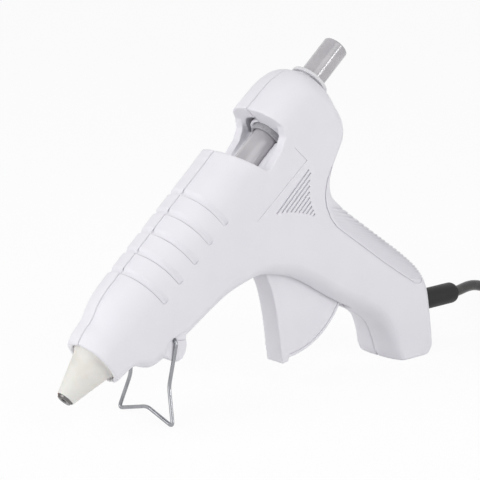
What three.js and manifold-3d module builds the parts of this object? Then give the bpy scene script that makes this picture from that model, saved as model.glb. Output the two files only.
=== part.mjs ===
// Hot glue applicator for 11 mm sticks, standing on its wire stand and on the butt of its handle.
// Millimetres, +Z up. The nozzle points forward and down along -X, handle and cord lie towards +X,
// and the two half shells meet on the plane y = 0.

import * as THREE from 'three';
import { mergeVertices } from 'three/addons/utils/BufferGeometryUtils.js';
import Module from 'manifold-3d';

const wasm = await Module();
wasm.setup();

// Driving dimensions

const gap = 0.3;
const overrun = 3;
const restTilt = THREE.MathUtils.degToRad(40.4);
const tipHeight = 15.8;

const stickRadius = 5.6;
const barrelLength = 170;
const barrelHeight = 42;
const halfWidth = 15.5;
const wall = 2.2;
const seamGap = 0.3;
const triggerHalf = 4.8;
const triggerTravel = THREE.MathUtils.degToRad(20);
const wireRadius = 0.8;
const cordRadius = 2.4;

// Sizes and places that follow the barrel: how far the handle reaches back, the height of its shoulder,
// the end of the stick, the pivots and the place where the cord leaves

const reach = barrelLength * 1.1647;
const shoulder = barrelLength * 0.5882;
const stickEnd = barrelLength * 1.1235;
const triggerPivot = { x: reach * 0.5707, z: shoulder * 0.485 };
const triggerRadius = shoulder * 0.37;
const standPivot = { along: barrelLength * 0.2735, up: barrelHeight * -0.3714 };
const standFoot = { x: barrelLength * 0.24, y: halfWidth * 1.016 };
const cordExit = { x: reach * 1.1212, z: shoulder * 0.205 };

// Colours and finishes of the pieces

const finishes = {
  shell: { color: 0xe2e1e6, roughness: 0.42, metalness: 0 },
  silicone: { color: 0xe8e6de, roughness: 0.6, metalness: 0 },
  steel: { color: 0xb9bbbe, roughness: 0.25, metalness: 1 },
  darkSteel: { color: 0x6f6e70, roughness: 0.35, metalness: 1 },
  brass: { color: 0xb08d4f, roughness: 0.35, metalness: 1 },
  aluminium: { color: 0xb4b6ba, roughness: 0.45, metalness: 1 },
  ceramic: { color: 0x4a4a4d, roughness: 0.7, metalness: 0 },
  nylon: { color: 0x77787c, roughness: 0.5, metalness: 0 },
  glue: { color: 0xbeb9be, roughness: 0.25, metalness: 0 },
  rubber: { color: 0x2d2d2a, roughness: 0.55, metalness: 0 },
  brown: { color: 0x6b4028, roughness: 0.5, metalness: 0 },
  blue: { color: 0x2c5a9a, roughness: 0.5, metalness: 0 },
};

function finish(name) {
  return new THREE.MeshStandardMaterial(finishes[name]);
}

// Frames: the standing frame, and the barrel frame whose X runs back along the stick from the tip

const standing = new THREE.Group();
const barrel = new THREE.Group();
barrel.position.z = tipHeight;
barrel.rotation.y = -restTilt;
standing.add(barrel);
barrel.updateMatrix();

function fromBarrel(along, up) {
  const point = new THREE.Vector3(along, 0, up).applyMatrix4(barrel.matrix);
  return { x: point.x, z: point.z };
}

function toBarrel(x, z) {
  const inverse = barrel.matrix.clone().invert();
  const point = new THREE.Vector3(x, 0, z).applyMatrix4(inverse);
  return { along: point.x, up: point.z };
}

function addPiece(parent, name, geometry, finishName) {
  const mesh = new THREE.Mesh(geometry, finish(finishName));
  mesh.name = name;
  parent.add(mesh);
  return mesh;
}

// Solid tools: every piece is one closed surface with its faces pointing out

function welded(geometry) {
  const bare = geometry.index ? geometry.toNonIndexed() : geometry.clone();
  bare.deleteAttribute('normal');
  bare.deleteAttribute('uv');
  const merged = mergeVertices(bare, 1e-4);
  const place = merged.attributes.position;
  const index = Array.from(merged.index.array);
  const kept = [];
  let volume = 0;
  const a = new THREE.Vector3();
  const b = new THREE.Vector3();
  const c = new THREE.Vector3();
  for (let i = 0; i < index.length; i += 3) {
    const [p, q, r] = index.slice(i, i + 3);
    if (p !== q && q !== r && r !== p) {
      kept.push(p, q, r);
      a.fromBufferAttribute(place, p);
      b.fromBufferAttribute(place, q);
      c.fromBufferAttribute(place, r);
      volume += a.dot(b.cross(c));
    }
  }
  if (volume < 0) {
    for (let i = 0; i < kept.length; i += 3) {
      [kept[i], kept[i + 1]] = [kept[i + 1], kept[i]];
    }
  }
  merged.setIndex(kept);
  return merged;
}

function solid(geometry) {
  const merged = welded(geometry);
  return new wasm.Manifold(new wasm.Mesh({
    numProp: 3,
    vertProperties: Float32Array.from(merged.attributes.position.array),
    triVerts: Uint32Array.from(merged.index.array),
  }));
}

const fineness = 0.02;

// The largest body of a solid as a mesh; slivers left where two cuts graze each other are dropped
function surface(body) {
  const pieces = body.simplify(fineness).decompose();
  const mesh = pieces.sort((a, b) => b.volume() - a.volume())[0].getMesh();
  const geometry = new THREE.BufferGeometry();
  geometry.setAttribute('position', new THREE.BufferAttribute(mesh.vertProperties, 3));
  geometry.setIndex(new THREE.BufferAttribute(mesh.triVerts, 1));
  return geometry;
}

function joined(...bodies) {
  return bodies.reduce((whole, body) => whole.add(body));
}

function block(low, high) {
  const size = new THREE.Vector3().subVectors(high, low);
  const geometry = new THREE.BoxGeometry(size.x, size.y, size.z);
  geometry.translate((low.x + high.x) / 2, (low.y + high.y) / 2, (low.z + high.z) / 2);
  return geometry;
}

function box(x0, x1, y0, y1, z0, z1) {
  return block(new THREE.Vector3(x0, y0, z0), new THREE.Vector3(x1, y1, z1));
}

// A profile of [along, radius] pairs turned about the X axis; it closes on the axis or on itself.
function turned(profile, segments) {
  const points = profile.map(([along, radius]) => new THREE.Vector2(radius, along));
  const geometry = new THREE.LatheGeometry(points, segments);
  geometry.rotateZ(-Math.PI / 2);
  return welded(geometry);
}

function ring(start, end, inner, outer, segments) {
  return turned([[start, inner], [start, outer], [end, outer], [end, inner], [start, inner]], segments);
}

// A round bar along Y through the place (x, z)
function crossBar(x, z, radius, y0, y1, segments) {
  const geometry = new THREE.CylinderGeometry(radius, radius, y1 - y0, segments);
  geometry.translate(x, (y0 + y1) / 2, z);
  return geometry;
}

// A flat outline of [x, z] pairs, thick from y0 to y1
function prism(outline, y0, y1) {
  const shape = new THREE.Shape(outline.map(([x, z]) => new THREE.Vector2(x, z)));
  const geometry = new THREE.ExtrudeGeometry(shape, { depth: y1 - y0, bevelEnabled: false });
  geometry.rotateX(Math.PI / 2);
  geometry.translate(0, y1, 0);
  return welded(geometry);
}

function tilted(geometry) {
  return geometry.clone().applyMatrix4(barrel.matrix);
}

function circle(radius, sides) {
  const shape = new THREE.Shape();
  for (let i = 0; i < sides; i += 1) {
    const angle = (i / sides) * Math.PI * 2;
    const x = radius * Math.cos(angle);
    const y = radius * Math.sin(angle);
    if (i === 0) {
      shape.moveTo(x, y);
    } else {
      shape.lineTo(x, y);
    }
  }
  shape.closePath();
  return shape;
}

function tube(curve, radius, sides, steps) {
  const geometry = new THREE.ExtrudeGeometry(circle(radius, sides), {
    steps, bevelEnabled: false, extrudePath: curve,
  });
  return welded(geometry);
}

// Straight runs joined by round bends, as a wire is bent
function bentPath(points, bend) {
  const path = new THREE.CurvePath();
  let from = points[0];
  for (let i = 1; i < points.length - 1; i += 1) {
    const before = points[i].clone().add(from.clone().sub(points[i]).setLength(bend));
    const after = points[i].clone().add(points[i + 1].clone().sub(points[i]).setLength(bend));
    path.add(new THREE.LineCurve3(from, before));
    path.add(new THREE.QuadraticBezierCurve3(before, points[i], after));
    from = after;
  }
  path.add(new THREE.LineCurve3(from, points[points.length - 1]));
  return path;
}

// Body outline. Each row is a station: the edge on the seam, the edge of the flat side, and the
// half width, as shares of barrelLength and barrelHeight, or of reach and shoulder, and of halfWidth

const noseShares = [
  [0.093, -0.295, 0.098, -0.048, 0.787],
  [0.119, 0.286, 0.115, 0.048, 0.787],
];
const barrelTopShares = [
  [0.141, 0.310, 0.138, 0.060, 0.813],
  [0.176, 0.321, 0.174, 0.071, 0.852],
  [0.215, 0.376, 0.212, 0.095, 0.916],
  [0.247, 0.395, 0.244, 0.119, 0.968],
  [0.353, 0.400, 0.353, 0.131, 1.000],
  [0.500, 0.405, 0.500, 0.131, 1.000],
  [0.618, 0.405, 0.618, 0.131, 1.000],
  [0.735, 0.410, 0.735, 0.131, 0.987],
  [0.853, 0.405, 0.847, 0.119, 0.981],
  [0.924, 0.362, 0.906, 0.095, 0.968],
  [0.968, 0.281, 0.932, 0.024, 0.955],
  [0.996, 0.143, 0.947, -0.071, 0.942],
  [1.006, -0.024, 0.953, -0.190, 0.935],
  [1.003, -0.214, 0.950, -0.286, 0.929],
  [0.999, -0.405, 0.944, -0.417, 0.916],
  [0.981, -0.548, 0.924, -0.512, 0.903],
];
const handleShares = [
  [0.710, 1.010, 0.664, 0.980, 0.890],
  [0.691, 0.930, 0.644, 0.910, 0.884],
  [0.682, 0.860, 0.636, 0.840, 0.877],
  [0.688, 0.805, 0.646, 0.755, 0.877],
  [0.715, 0.750, 0.679, 0.685, 0.871],
  [0.792, 0.639, 0.763, 0.565, 0.871],
  [0.859, 0.548, 0.831, 0.470, 0.877],
  [0.919, 0.462, 0.889, 0.395, 0.890],
  [0.957, 0.395, 0.922, 0.345, 0.903],
  [0.981, 0.320, 0.937, 0.290, 0.916],
  [0.992, 0.210, 0.947, 0.200, 0.929],
  [1.000, 0.080, 0.957, 0.090, 0.935],
];
const buttShares = [
  [1.001, 0.030, 0.965, 0.045, 0.935],
  [0.987, -0.007, 0.955, 0.030, 0.935],
  [0.869, -0.007, 0.889, 0.030, 0.903],
  [0.852, 0.032, 0.881, 0.050, 0.890],
];
const gripFrontShares = [
  [0.843, 0.100, 0.879, 0.120, 0.877],
  [0.826, 0.170, 0.864, 0.210, 0.871],
  [0.795, 0.226, 0.826, 0.300, 0.865],
  [0.758, 0.266, 0.780, 0.345, 0.871],
  [0.715, 0.309, 0.735, 0.390, 0.877],
  [0.671, 0.359, 0.692, 0.440, 0.890],
  [0.621, 0.419, 0.639, 0.505, 0.903],
  [0.576, 0.463, 0.588, 0.555, 0.916],
  [0.530, 0.489, 0.535, 0.585, 0.935],
  [0.480, 0.502, 0.470, 0.600, 0.955],
];
const undersideShares = [
  [0.515, -0.733, 0.497, -0.452, 0.968],
  [0.462, -0.643, 0.453, -0.369, 0.981],
  [0.399, -0.586, 0.394, -0.321, 0.981],
  [0.329, -0.543, 0.326, -0.286, 0.968],
  [0.271, -0.498, 0.271, -0.238, 0.955],
  [0.224, -0.467, 0.224, -0.202, 0.935],
  [0.194, -0.419, 0.197, -0.167, 0.903],
  [0.173, -0.333, 0.176, -0.131, 0.865],
  [0.158, -0.295, 0.159, -0.095, 0.826],
  [0.129, -0.295, 0.132, -0.071, 0.800],
];
const edgeRingCount = 7;
const cavityRingCount = 4;
const roundingPower = 0.87;
const samplesPerSpan = 2;

function barrelStation([along, up, sideAlong, sideUp, half]) {
  const edge = fromBarrel(along * barrelLength, up * barrelHeight);
  const side = fromBarrel(sideAlong * barrelLength, sideUp * barrelHeight);
  return { edge, side, half: half * halfWidth };
}

function handleStation([x, z, sideX, sideZ, half]) {
  return {
    edge: { x: x * reach, z: z * shoulder },
    side: { x: sideX * reach, z: sideZ * shoulder },
    half: half * halfWidth,
  };
}

// Runs of stations: a curve goes smoothly through each run, and corners lie between runs
const runs = [
  [...noseShares.slice(1), ...barrelTopShares].map(barrelStation)
    .concat(handleShares.map(handleStation)).concat(buttShares.slice(0, 1).map(handleStation)),
  buttShares.slice(1, 3).map(handleStation),
  buttShares.slice(3).concat(gripFrontShares).map(handleStation)
    .concat([...undersideShares, noseShares[0]].map(barrelStation)),
];

function sampledRun(run) {
  const edgeCurve = new THREE.CatmullRomCurve3(
    run.map((station) => new THREE.Vector3(station.edge.x, station.half, station.edge.z)),
    false, 'centripetal',
  );
  const sideCurve = new THREE.CatmullRomCurve3(
    run.map((station) => new THREE.Vector3(station.side.x, station.half, station.side.z)),
    false, 'centripetal',
  );
  const spans = run.length - 1;
  const count = run.length === 2 ? 1 : spans * samplesPerSpan;
  const samples = [];
  for (let i = 0; i <= count; i += 1) {
    const edge = edgeCurve.getPoint(i / count);
    const side = sideCurve.getPoint(i / count);
    samples.push({ edge: { x: edge.x, z: edge.z }, side: { x: side.x, z: side.z }, half: edge.y });
  }
  return samples;
}

const stations = runs.flatMap(sampledRun);

// The half body lofted through rings from the seam out to the flat side, drawn in by a thickness
function halfBody(sideSign, seam, thickness, ringCount) {
  const places = [];
  const count = stations.length;
  for (let k = 0; k <= ringCount; k += 1) {
    const angle = (k / ringCount) * (Math.PI / 2);
    const inShare = 1 - Math.cos(angle) ** roundingPower;
    const outShare = Math.sin(angle) ** roundingPower;
    for (const { edge, side, half } of stations) {
      const dx = side.x - edge.x;
      const dz = side.z - edge.z;
      const length = Math.hypot(dx, dz);
      const start = thickness / length;
      const share = start + (1 - start) * inShare;
      const y = seam + (half - thickness - seam) * outShare;
      places.push(edge.x + dx * share, sideSign * y, edge.z + dz * share);
    }
  }
  const faces = [];
  for (let k = 0; k < ringCount; k += 1) {
    for (let i = 0; i < count; i += 1) {
      const next = (i + 1) % count;
      const a = k * count + i;
      const b = k * count + next;
      const c = (k + 1) * count + i;
      const d = (k + 1) * count + next;
      faces.push(a, b, d, a, d, c);
    }
  }
  for (const k of [0, ringCount]) {
    const outline = [];
    for (let i = 0; i < count; i += 1) {
      const at = (k * count + i) * 3;
      outline.push(new THREE.Vector2(places[at], places[at + 2]));
    }
    for (const [p, q, r] of THREE.ShapeUtils.triangulateShape(outline, [])) {
      const base = k * count;
      if (k === 0) {
        faces.push(base + p, base + q, base + r);
      } else {
        faces.push(base + p, base + r, base + q);
      }
    }
  }
  const geometry = new THREE.BufferGeometry();
  geometry.setAttribute('position', new THREE.Float32BufferAttribute(places, 3));
  geometry.setIndex(faces);
  return geometry;
}

// Nozzle end: a metal tip screwed into the heating chamber, with a silicone cone over it

const mouthRadius = 11.3;
const noseWallLength = 2.6;
const noseWall = { start: barrelLength * 0.1647, end: barrelLength * 0.1647 + noseWallLength };
const tip = {
  front: 3, taper: 6.4, taperEnd: barrelLength * 0.1176, thread: 5.2, end: noseWall.end + wall, bore: 1.1, feed: 3.2,
  feedStart: barrelLength * 0.1294,
};
const cone = { start: 1, front: 3.7, base: 8.6, baseStart: barrelLength * 0.1088, flange: 11, flangeLength: 3 };
const roundSides = 28;
const smallSides = 12;

addPiece(barrel, 'nozzle_tip', turned([
  [0, tip.bore], [0, tip.front], [tip.taperEnd, tip.taper], [tip.taperEnd, tip.thread], [tip.end, tip.thread],
  [tip.end, tip.feed], [tip.feedStart, tip.feed], [tip.feedStart - tip.feed, tip.bore], [0, tip.bore],
], smallSides), 'darkSteel');

function tipRadiusAt(along) {
  return tip.front + (tip.taper - tip.front) * (along / tip.taperEnd);
}

const coneEnd = noseWall.start - gap;
addPiece(barrel, 'nozzle_sleeve', turned([
  [cone.start, tipRadiusAt(cone.start) + gap], [cone.start, cone.front], [cone.baseStart, cone.base],
  [coneEnd - cone.flangeLength, cone.base], [coneEnd - cone.flangeLength, cone.flange], [coneEnd, cone.flange],
  [coneEnd, tip.taper + gap], [tip.taperEnd, tip.taper + gap], [cone.start, tipRadiusAt(cone.start) + gap],
], roundSides), 'silicone');

// Heating chamber: a bored barrel with a flat heater pocket cast below it

const chamber = {
  start: noseWall.end + gap, end: barrelLength * 0.3882, outer: 8.6, bore: 6, neckEnd: barrelLength * 0.2,
  boreStart: barrelLength * 0.2118,
};
const heater = {
  start: barrelLength * 0.2353, end: barrelLength * 0.3324, half: 4.6, plate: 0.5, disc: 2.4, clip: 0.5,
  pocketWall: 1.2, top: 9.9,
};
const pocketDepth = 5 * gap + 2 * heater.plate + heater.disc + heater.clip;

const chamberTube = solid(turned([
  [chamber.start, tip.thread + gap], [chamber.start, chamber.outer], [chamber.end, chamber.outer],
  [chamber.end, chamber.bore], [chamber.boreStart, chamber.bore], [chamber.neckEnd, tip.thread + gap],
  [chamber.start, tip.thread + gap],
], roundSides));
const pocketShell = solid(box(
  heater.start, heater.end, -heater.half - gap - heater.pocketWall, heater.half + gap + heater.pocketWall,
  -heater.top - pocketDepth - heater.pocketWall, -chamber.bore - heater.plate,
));
const pocketHole = solid(box(
  heater.start - overrun, heater.end + overrun, -heater.half - gap, heater.half + gap,
  -heater.top - pocketDepth, -heater.top,
));
const boreHole = solid(turned([
  [chamber.boreStart, 0], [chamber.boreStart, chamber.bore], [chamber.end + overrun, chamber.bore],
  [chamber.end + overrun, 0],
], roundSides));
addPiece(
  barrel, 'heating_chamber',
  surface(joined(chamberTube, pocketShell.subtract(boreHole)).subtract(pocketHole)), 'aluminium',
);

function heaterLayer(name, top, thickness, half, finishName) {
  addPiece(barrel, name, box(heater.start + gap, heater.end - gap, -half, half, top - thickness, top), finishName);
  return top - thickness - gap;
}

let layerTop = -heater.top - gap;
const contactTops = [layerTop];
layerTop = heaterLayer('contact_plate_upper', layerTop, heater.plate, heater.half, 'brass');
layerTop = heaterLayer('heater_disc', layerTop, heater.disc, heater.half, 'ceramic');
contactTops.push(layerTop);
layerTop = heaterLayer('contact_plate_lower', layerTop, heater.plate, heater.half, 'brass');
heaterLayer('heater_clip', layerTop, heater.clip, heater.half, 'steel');

// Trigger drive: hub, lean of the arm and the travel that it gives the carriage

const hub = toBarrel(triggerPivot.x, triggerPivot.z);
const lean = triggerTravel / 2;
const driveUp = -13.2;
const armLength = (driveUp - hub.up) / Math.cos(lean);
const drive = { along: hub.along + armLength * Math.sin(lean), up: driveUp };
const carriageTravel = 2 * armLength * Math.sin(lean);

// Carriage: a nylon slider round the stick, with side wings in the shell rails and a forked foot

const carriage = { length: 14, lead: 1.5, half: 8, top: 8.4, bottom: 10, bore: stickRadius + gap };
const wing = { reach: 12.2, top: -2.9, bottom: -4.9, over: 1 };
const drivePin = { radius: 1.2, half: 6.2 };
const arm = { half: 3.4, width: 4.8, root: 7 };
const fork = { thickness: 2.4, start: 3.4, end: 5.6, top: 8.2, bottom: 16.6 };
const carriageEnd = drive.along - carriage.lead;
const carriageStart = carriageEnd - carriage.length;
const forkInner = arm.half + gap;
const forkOuter = forkInner + fork.thickness;
const jaw = { start: 2, end: 7.4, half: 2, bottom: 11.4, tooth: 1, pin: 0.9 };

const carriageBore = solid(turned([
  [carriageStart - overrun, 0], [carriageStart - overrun, carriage.bore],
  [carriageEnd + fork.end + overrun, carriage.bore], [carriageEnd + fork.end + overrun, 0],
], roundSides));
let carriageBody = solid(box(
  carriageStart, carriageEnd, -carriage.half, carriage.half, -carriage.bottom, carriage.top,
));
carriageBody = carriageBody.add(solid(box(
  carriageStart - wing.over, carriageEnd, -wing.reach, wing.reach, wing.bottom, wing.top,
)));
for (const side of [-1, 1]) {
  const low = Math.min(side * forkInner, side * forkOuter);
  const high = Math.max(side * forkInner, side * forkOuter);
  const cheek = solid(box(
    drive.along - fork.start, drive.along + fork.end, low, high, -fork.bottom, -fork.top,
  ));
  carriageBody = carriageBody.add(cheek);
}
const springBar = { start: drive.along + fork.end - drivePin.radius, half: forkInner + gap, up: -14.6, height: 1.8 };
carriageBody = carriageBody.add(solid(box(
  springBar.start, drive.along + fork.end, -springBar.half, springBar.half,
  springBar.up - springBar.height / 2, springBar.up + springBar.height / 2,
)));
const pinSlot = solid(box(
  drive.along - drivePin.radius - gap, drive.along + drivePin.radius + gap, -forkOuter - overrun,
  forkOuter + overrun, -fork.bottom - overrun, drive.up + drivePin.radius + 3 * gap,
));
const jawSlot = solid(box(
  carriageStart + jaw.start - gap, carriageStart + jaw.end + gap, -jaw.half - gap, jaw.half + gap,
  -carriage.bottom - overrun, 0,
));
const jawPinPlace = { along: carriageStart + (jaw.start + jaw.end) / 2, up: -8.8 };
const jawPinHole = solid(crossBar(
  jawPinPlace.along, jawPinPlace.up, jaw.pin + gap, -carriage.half - overrun, carriage.half + overrun, smallSides,
));
addPiece(
  barrel, 'carriage',
  surface(carriageBody.subtract(carriageBore).subtract(pinSlot).subtract(jawSlot).subtract(jawPinHole)), 'nylon',
);
addPiece(barrel, 'jaw_pin', crossBar(
  jawPinPlace.along, jawPinPlace.up, jaw.pin, -carriage.half, carriage.half, smallSides,
), 'steel');

// Grip jaw: a toothed steel lever that tilts up into the stick as the trigger pulls

const jawTop = stickRadius + 1.5 * gap;
const jawFront = carriageStart + jaw.start;
const jawBack = carriageStart + jaw.end;
const jawOutline = [
  [jawFront, -jawTop], [jawFront + jaw.tooth, -jawTop - jaw.tooth / 2],
  [jawFront + jaw.tooth, -jawTop], [jawFront + 2 * jaw.tooth, -jawTop - jaw.tooth / 2],
  [jawBack, -jawTop - jaw.tooth / 2], [jawBack, -jaw.bottom], [jawFront, -jaw.bottom],
];
addPiece(barrel, 'grip_jaw', surface(solid(prism(jawOutline, -jaw.half, jaw.half)).subtract(solid(crossBar(
  jawPinPlace.along, jawPinPlace.up, jaw.pin + gap, -overrun, overrun, smallSides,
)))), 'steel');

// Stick, entry sleeve with its clamp, and the guides at the feed opening and the rear hole

const sleeve = {
  outer: 10.2, rear: 7.8, start: barrelLength * 0.3618, clampStart: 2, clampWidth: 2.2, clampThick: 0.9,
};
const sleeveEnd = carriageStart - wing.over - carriageTravel - gap;
const sleeveStep = chamber.end + gap;
addPiece(barrel, 'entry_sleeve', turned([
  [sleeve.start, chamber.outer + gap], [sleeve.start, sleeve.outer], [sleeveStep + 2 * sleeve.clampWidth, sleeve.outer],
  [sleeveStep + 3 * sleeve.clampWidth, sleeve.rear], [sleeveEnd, sleeve.rear], [sleeveEnd, stickRadius + gap],
  [sleeveStep, stickRadius + gap], [sleeveStep, chamber.outer + gap], [sleeve.start, chamber.outer + gap],
], roundSides), 'silicone');
addPiece(barrel, 'sleeve_clamp', ring(
  sleeve.start + sleeve.clampStart, sleeve.start + sleeve.clampStart + sleeve.clampWidth,
  sleeve.outer + gap, sleeve.outer + gap + sleeve.clampThick, roundSides,
), 'steel');

const stickStart = chamber.boreStart + carriageTravel + 2 * gap;
const stickChamfer = 0.6;
addPiece(barrel, 'glue_stick', turned([
  [stickStart, 0], [stickStart, stickRadius - stickChamfer], [stickStart + stickChamfer, stickRadius],
  [stickEnd - stickChamfer, stickRadius], [stickEnd, stickRadius - stickChamfer], [stickEnd, 0],
], roundSides), 'glue');

const guideHole = 7.3;
const feedCollar = { start: barrelLength * 0.7976, end: barrelLength * 0.8588 };
addPiece(barrel, 'feed_collar', ring(
  feedCollar.start, feedCollar.end, stickRadius + gap, guideHole - gap, roundSides,
), 'nylon');
const rearGuide = {
  start: barrelLength * 0.9529, flangeStart: barrelLength * 1.0082, flangeEnd: barrelLength * 1.0188, flange: 8.6,
};
addPiece(barrel, 'rear_guide', turned([
  [rearGuide.start, stickRadius + gap], [rearGuide.start, guideHole - gap],
  [rearGuide.flangeStart, guideHole - gap], [rearGuide.flangeStart, rearGuide.flange],
  [rearGuide.flangeEnd, rearGuide.flange], [rearGuide.flangeEnd, stickRadius + gap],
  [rearGuide.start, stickRadius + gap],
], roundSides), 'nylon');

// Trigger: a quarter disc on a steel pin, its curved rim concentric with the pin, and a drive arm

const hubRadius = 4.6;
const pinRadius = 1.5;
const padHalf = 5.2;
const rimDepth = 1.4;
const webStep = 0.4;
const webHalf = triggerHalf - webStep;
const padFrontShares = [
  [-0.324, 0.135], [-0.289, 0], [-0.211, -0.176], [-0.151, -0.392], [-0.103, -0.635], [-0.070, -0.878],
  [-0.049, -0.999],
];
const padThickShare = 0.11;
const rimStart = THREE.MathUtils.degToRad(-92.8);
const rimEnd = THREE.MathUtils.degToRad(-14);
const rimSteps = 18;

function aboutPivot([dx, dz]) {
  return [triggerPivot.x + dx * triggerRadius, triggerPivot.z + dz * triggerRadius];
}

function rimPoints(radius, from, to) {
  const points = [];
  for (let i = 0; i <= rimSteps; i += 1) {
    const angle = from + ((to - from) * i) / rimSteps;
    points.push([triggerPivot.x + radius * Math.cos(angle), triggerPivot.z + radius * Math.sin(angle)]);
  }
  return points;
}

const padFront = padFrontShares.map(aboutPivot);
const padBack = padFrontShares.map(([dx, dz]) => aboutPivot([dx + padThickShare, dz])).reverse();
const webOutline = [...padFront, ...rimPoints(triggerRadius, rimStart, rimEnd), aboutPivot([0.1, 0.12])];
const rimOutline = [
  ...rimPoints(triggerRadius, rimStart, rimEnd),
  ...rimPoints(triggerRadius - rimDepth, rimStart, rimEnd).reverse(),
];
const armOutline = [
  [hub.along - arm.root / 2, hub.up], [drive.along - arm.width / 2, drive.up],
  [drive.along - arm.width / 4, drive.up + arm.width / 2], [drive.along + arm.width / 4, drive.up + arm.width / 2],
  [drive.along + arm.width / 2, drive.up], [hub.along + arm.root / 2, hub.up],
];
const triggerBody = joined(
  solid(prism(webOutline, -webHalf, webHalf)),
  solid(prism([...padFront, ...padBack], -padHalf, padHalf)),
  solid(prism(rimOutline, -triggerHalf, triggerHalf)),
  solid(crossBar(triggerPivot.x, triggerPivot.z, hubRadius, -padHalf, padHalf, roundSides)),
  solid(tilted(prism(armOutline, -arm.half, arm.half))),
);
const pinHole = solid(crossBar(
  triggerPivot.x, triggerPivot.z, pinRadius + gap, -halfWidth, halfWidth, smallSides,
));
const driveHole = solid(tilted(crossBar(drive.along, drive.up, drivePin.radius + gap, -halfWidth, halfWidth, smallSides)));
addPiece(standing, 'trigger', surface(triggerBody.subtract(pinHole).subtract(driveHole)), 'shell');
const pinReach = 10.6;
addPiece(standing, 'trigger_pin', crossBar(
  triggerPivot.x, triggerPivot.z, pinRadius, -pinReach, pinReach, smallSides,
), 'steel');
addPiece(barrel, 'drive_pin', crossBar(
  drive.along, drive.up, drivePin.radius, -drivePin.half, drivePin.half, smallSides,
), 'steel');

// Return spring: an extension spring from the carriage back to a peg in the shells

const spring = { radius: 2.3, wire: 0.35, turns: 14, stepsPerTurn: 8, sides: 5, lead: 2 };
const peg = { along: barrelLength * 0.8735, up: springBar.up, radius: 2.2 };
const springStart = drive.along + fork.end + 2 * gap;
const springEnd = peg.along - peg.radius - 2 * gap;

class SpringCurve extends THREE.Curve {
  getPoint(t, target = new THREE.Vector3()) {
    const coilLength = springEnd - springStart - 2 * spring.lead;
    const angle = t * spring.turns * Math.PI * 2;
    const fade = Math.min(1, Math.min(t, 1 - t) * spring.turns * 2);
    const along = springStart + spring.lead * Math.min(1, t * spring.turns * 2)
      + coilLength * t + spring.lead * Math.max(0, 1 - (1 - t) * spring.turns * 2);
    return target.set(along, spring.radius * fade * Math.cos(angle), spring.radius * fade * Math.sin(angle) + peg.up);
  }
}
addPiece(barrel, 'return_spring', tube(
  new SpringCurve(), spring.wire, spring.sides, spring.turns * spring.stepsPerTurn,
), 'steel');

// Wire stand: one bent wire whose ends turn in the lug under the barrel

const lugHalf = 10.8;
const standEar = { y: 12.9, inner: 7.6, kinkY: 12, kinkShare: 0.55, kinkX: barrelLength * 0.2535, bend: 2.4 };
const standTop = fromBarrel(standPivot.along, standPivot.up);
const standRise = 4;
const footDrop = 0.77;
const standSteps = 40;
const standSides = 8;

function standSide(side) {
  return [
    new THREE.Vector3(standTop.x, side * standEar.inner, standTop.z),
    new THREE.Vector3(standTop.x, side * standEar.y, standTop.z),
    new THREE.Vector3(standEar.kinkX, side * standEar.kinkY, standTop.z * (1 - standEar.kinkShare)),
    new THREE.Vector3(standFoot.x, side * (standFoot.y - wireRadius), wireRadius - footDrop),
  ];
}
const standPath = bentPath([
  ...standSide(-1), new THREE.Vector3(standFoot.x + wireRadius, 0, wireRadius + standRise), ...standSide(1).reverse(),
], standEar.bend);
addPiece(standing, 'wire_stand', tube(standPath, wireRadius, standSides, standSteps), 'steel');

// Screws through the right shell into bosses of the left shell

const barrelScrewShares = [[0.412, -0.381], [0.753, -0.595], [0.929, -0.357]];
const handleScrewShares = [[0.823, 0.42], [0.889, 0.10]];
const screw = { radius: 1.5, head: 2.8, headHeight: 1.9, headPlace: 8.3, tipPlace: -9, boss: 3.4, sides: 12 };
const screwPlaces = [
  ...barrelScrewShares.map(([along, up]) => fromBarrel(along * barrelLength, up * barrelHeight)),
  ...handleScrewShares.map(([x, z]) => ({ x: x * reach, z: z * shoulder })),
];
screwPlaces.forEach(({ x, z }, i) => {
  const shaft = solid(crossBar(x, z, screw.radius, screw.tipPlace, screw.headPlace + gap, screw.sides));
  const head = solid(crossBar(x, z, screw.head, screw.headPlace, screw.headPlace + screw.headHeight, smallSides));
  const slotHalf = screw.radius / 4;
  const drivers = joined(
    solid(box(x - screw.radius, x + screw.radius, screw.headPlace + screw.headHeight / 2,
      screw.headPlace + screw.headHeight * 2, z - slotHalf, z + slotHalf)),
    solid(box(x - slotHalf, x + slotHalf, screw.headPlace + screw.headHeight / 2,
      screw.headPlace + screw.headHeight * 2, z - screw.radius, z + screw.radius)),
  );
  addPiece(standing, `shell_screw_${i + 1}`, surface(shaft.add(head).subtract(drivers)), 'steel');
});

// Cord entry: strain relief in the back of the butt, the cord's inner tail, its clamp and the leads

const reliefOut = reach * 0.998;
const reliefWall = 4.6;
const reliefFlange = 1.6;
const relief = {
  radius: 4.3, neck: 3.2, flange: 4.8, wallIn: reliefOut - reliefWall, wallOut: reliefOut,
  inner: reliefOut - reliefWall - reliefFlange, round: 2.6,
};
const reliefProfile = [
  [relief.inner, 0], [relief.inner, relief.flange], [relief.wallIn, relief.flange], [relief.wallIn, relief.neck],
  [relief.wallOut, relief.neck], [relief.wallOut, relief.radius], [cordExit.x - relief.round, relief.radius],
  [cordExit.x - relief.round / 4, relief.radius - relief.round / 3],
  [cordExit.x, relief.radius - relief.round / 1.5], [cordExit.x, 0],
];
addPiece(standing, 'strain_relief', turned(reliefProfile, roundSides).translate(0, 0, cordExit.z), 'rubber');

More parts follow.
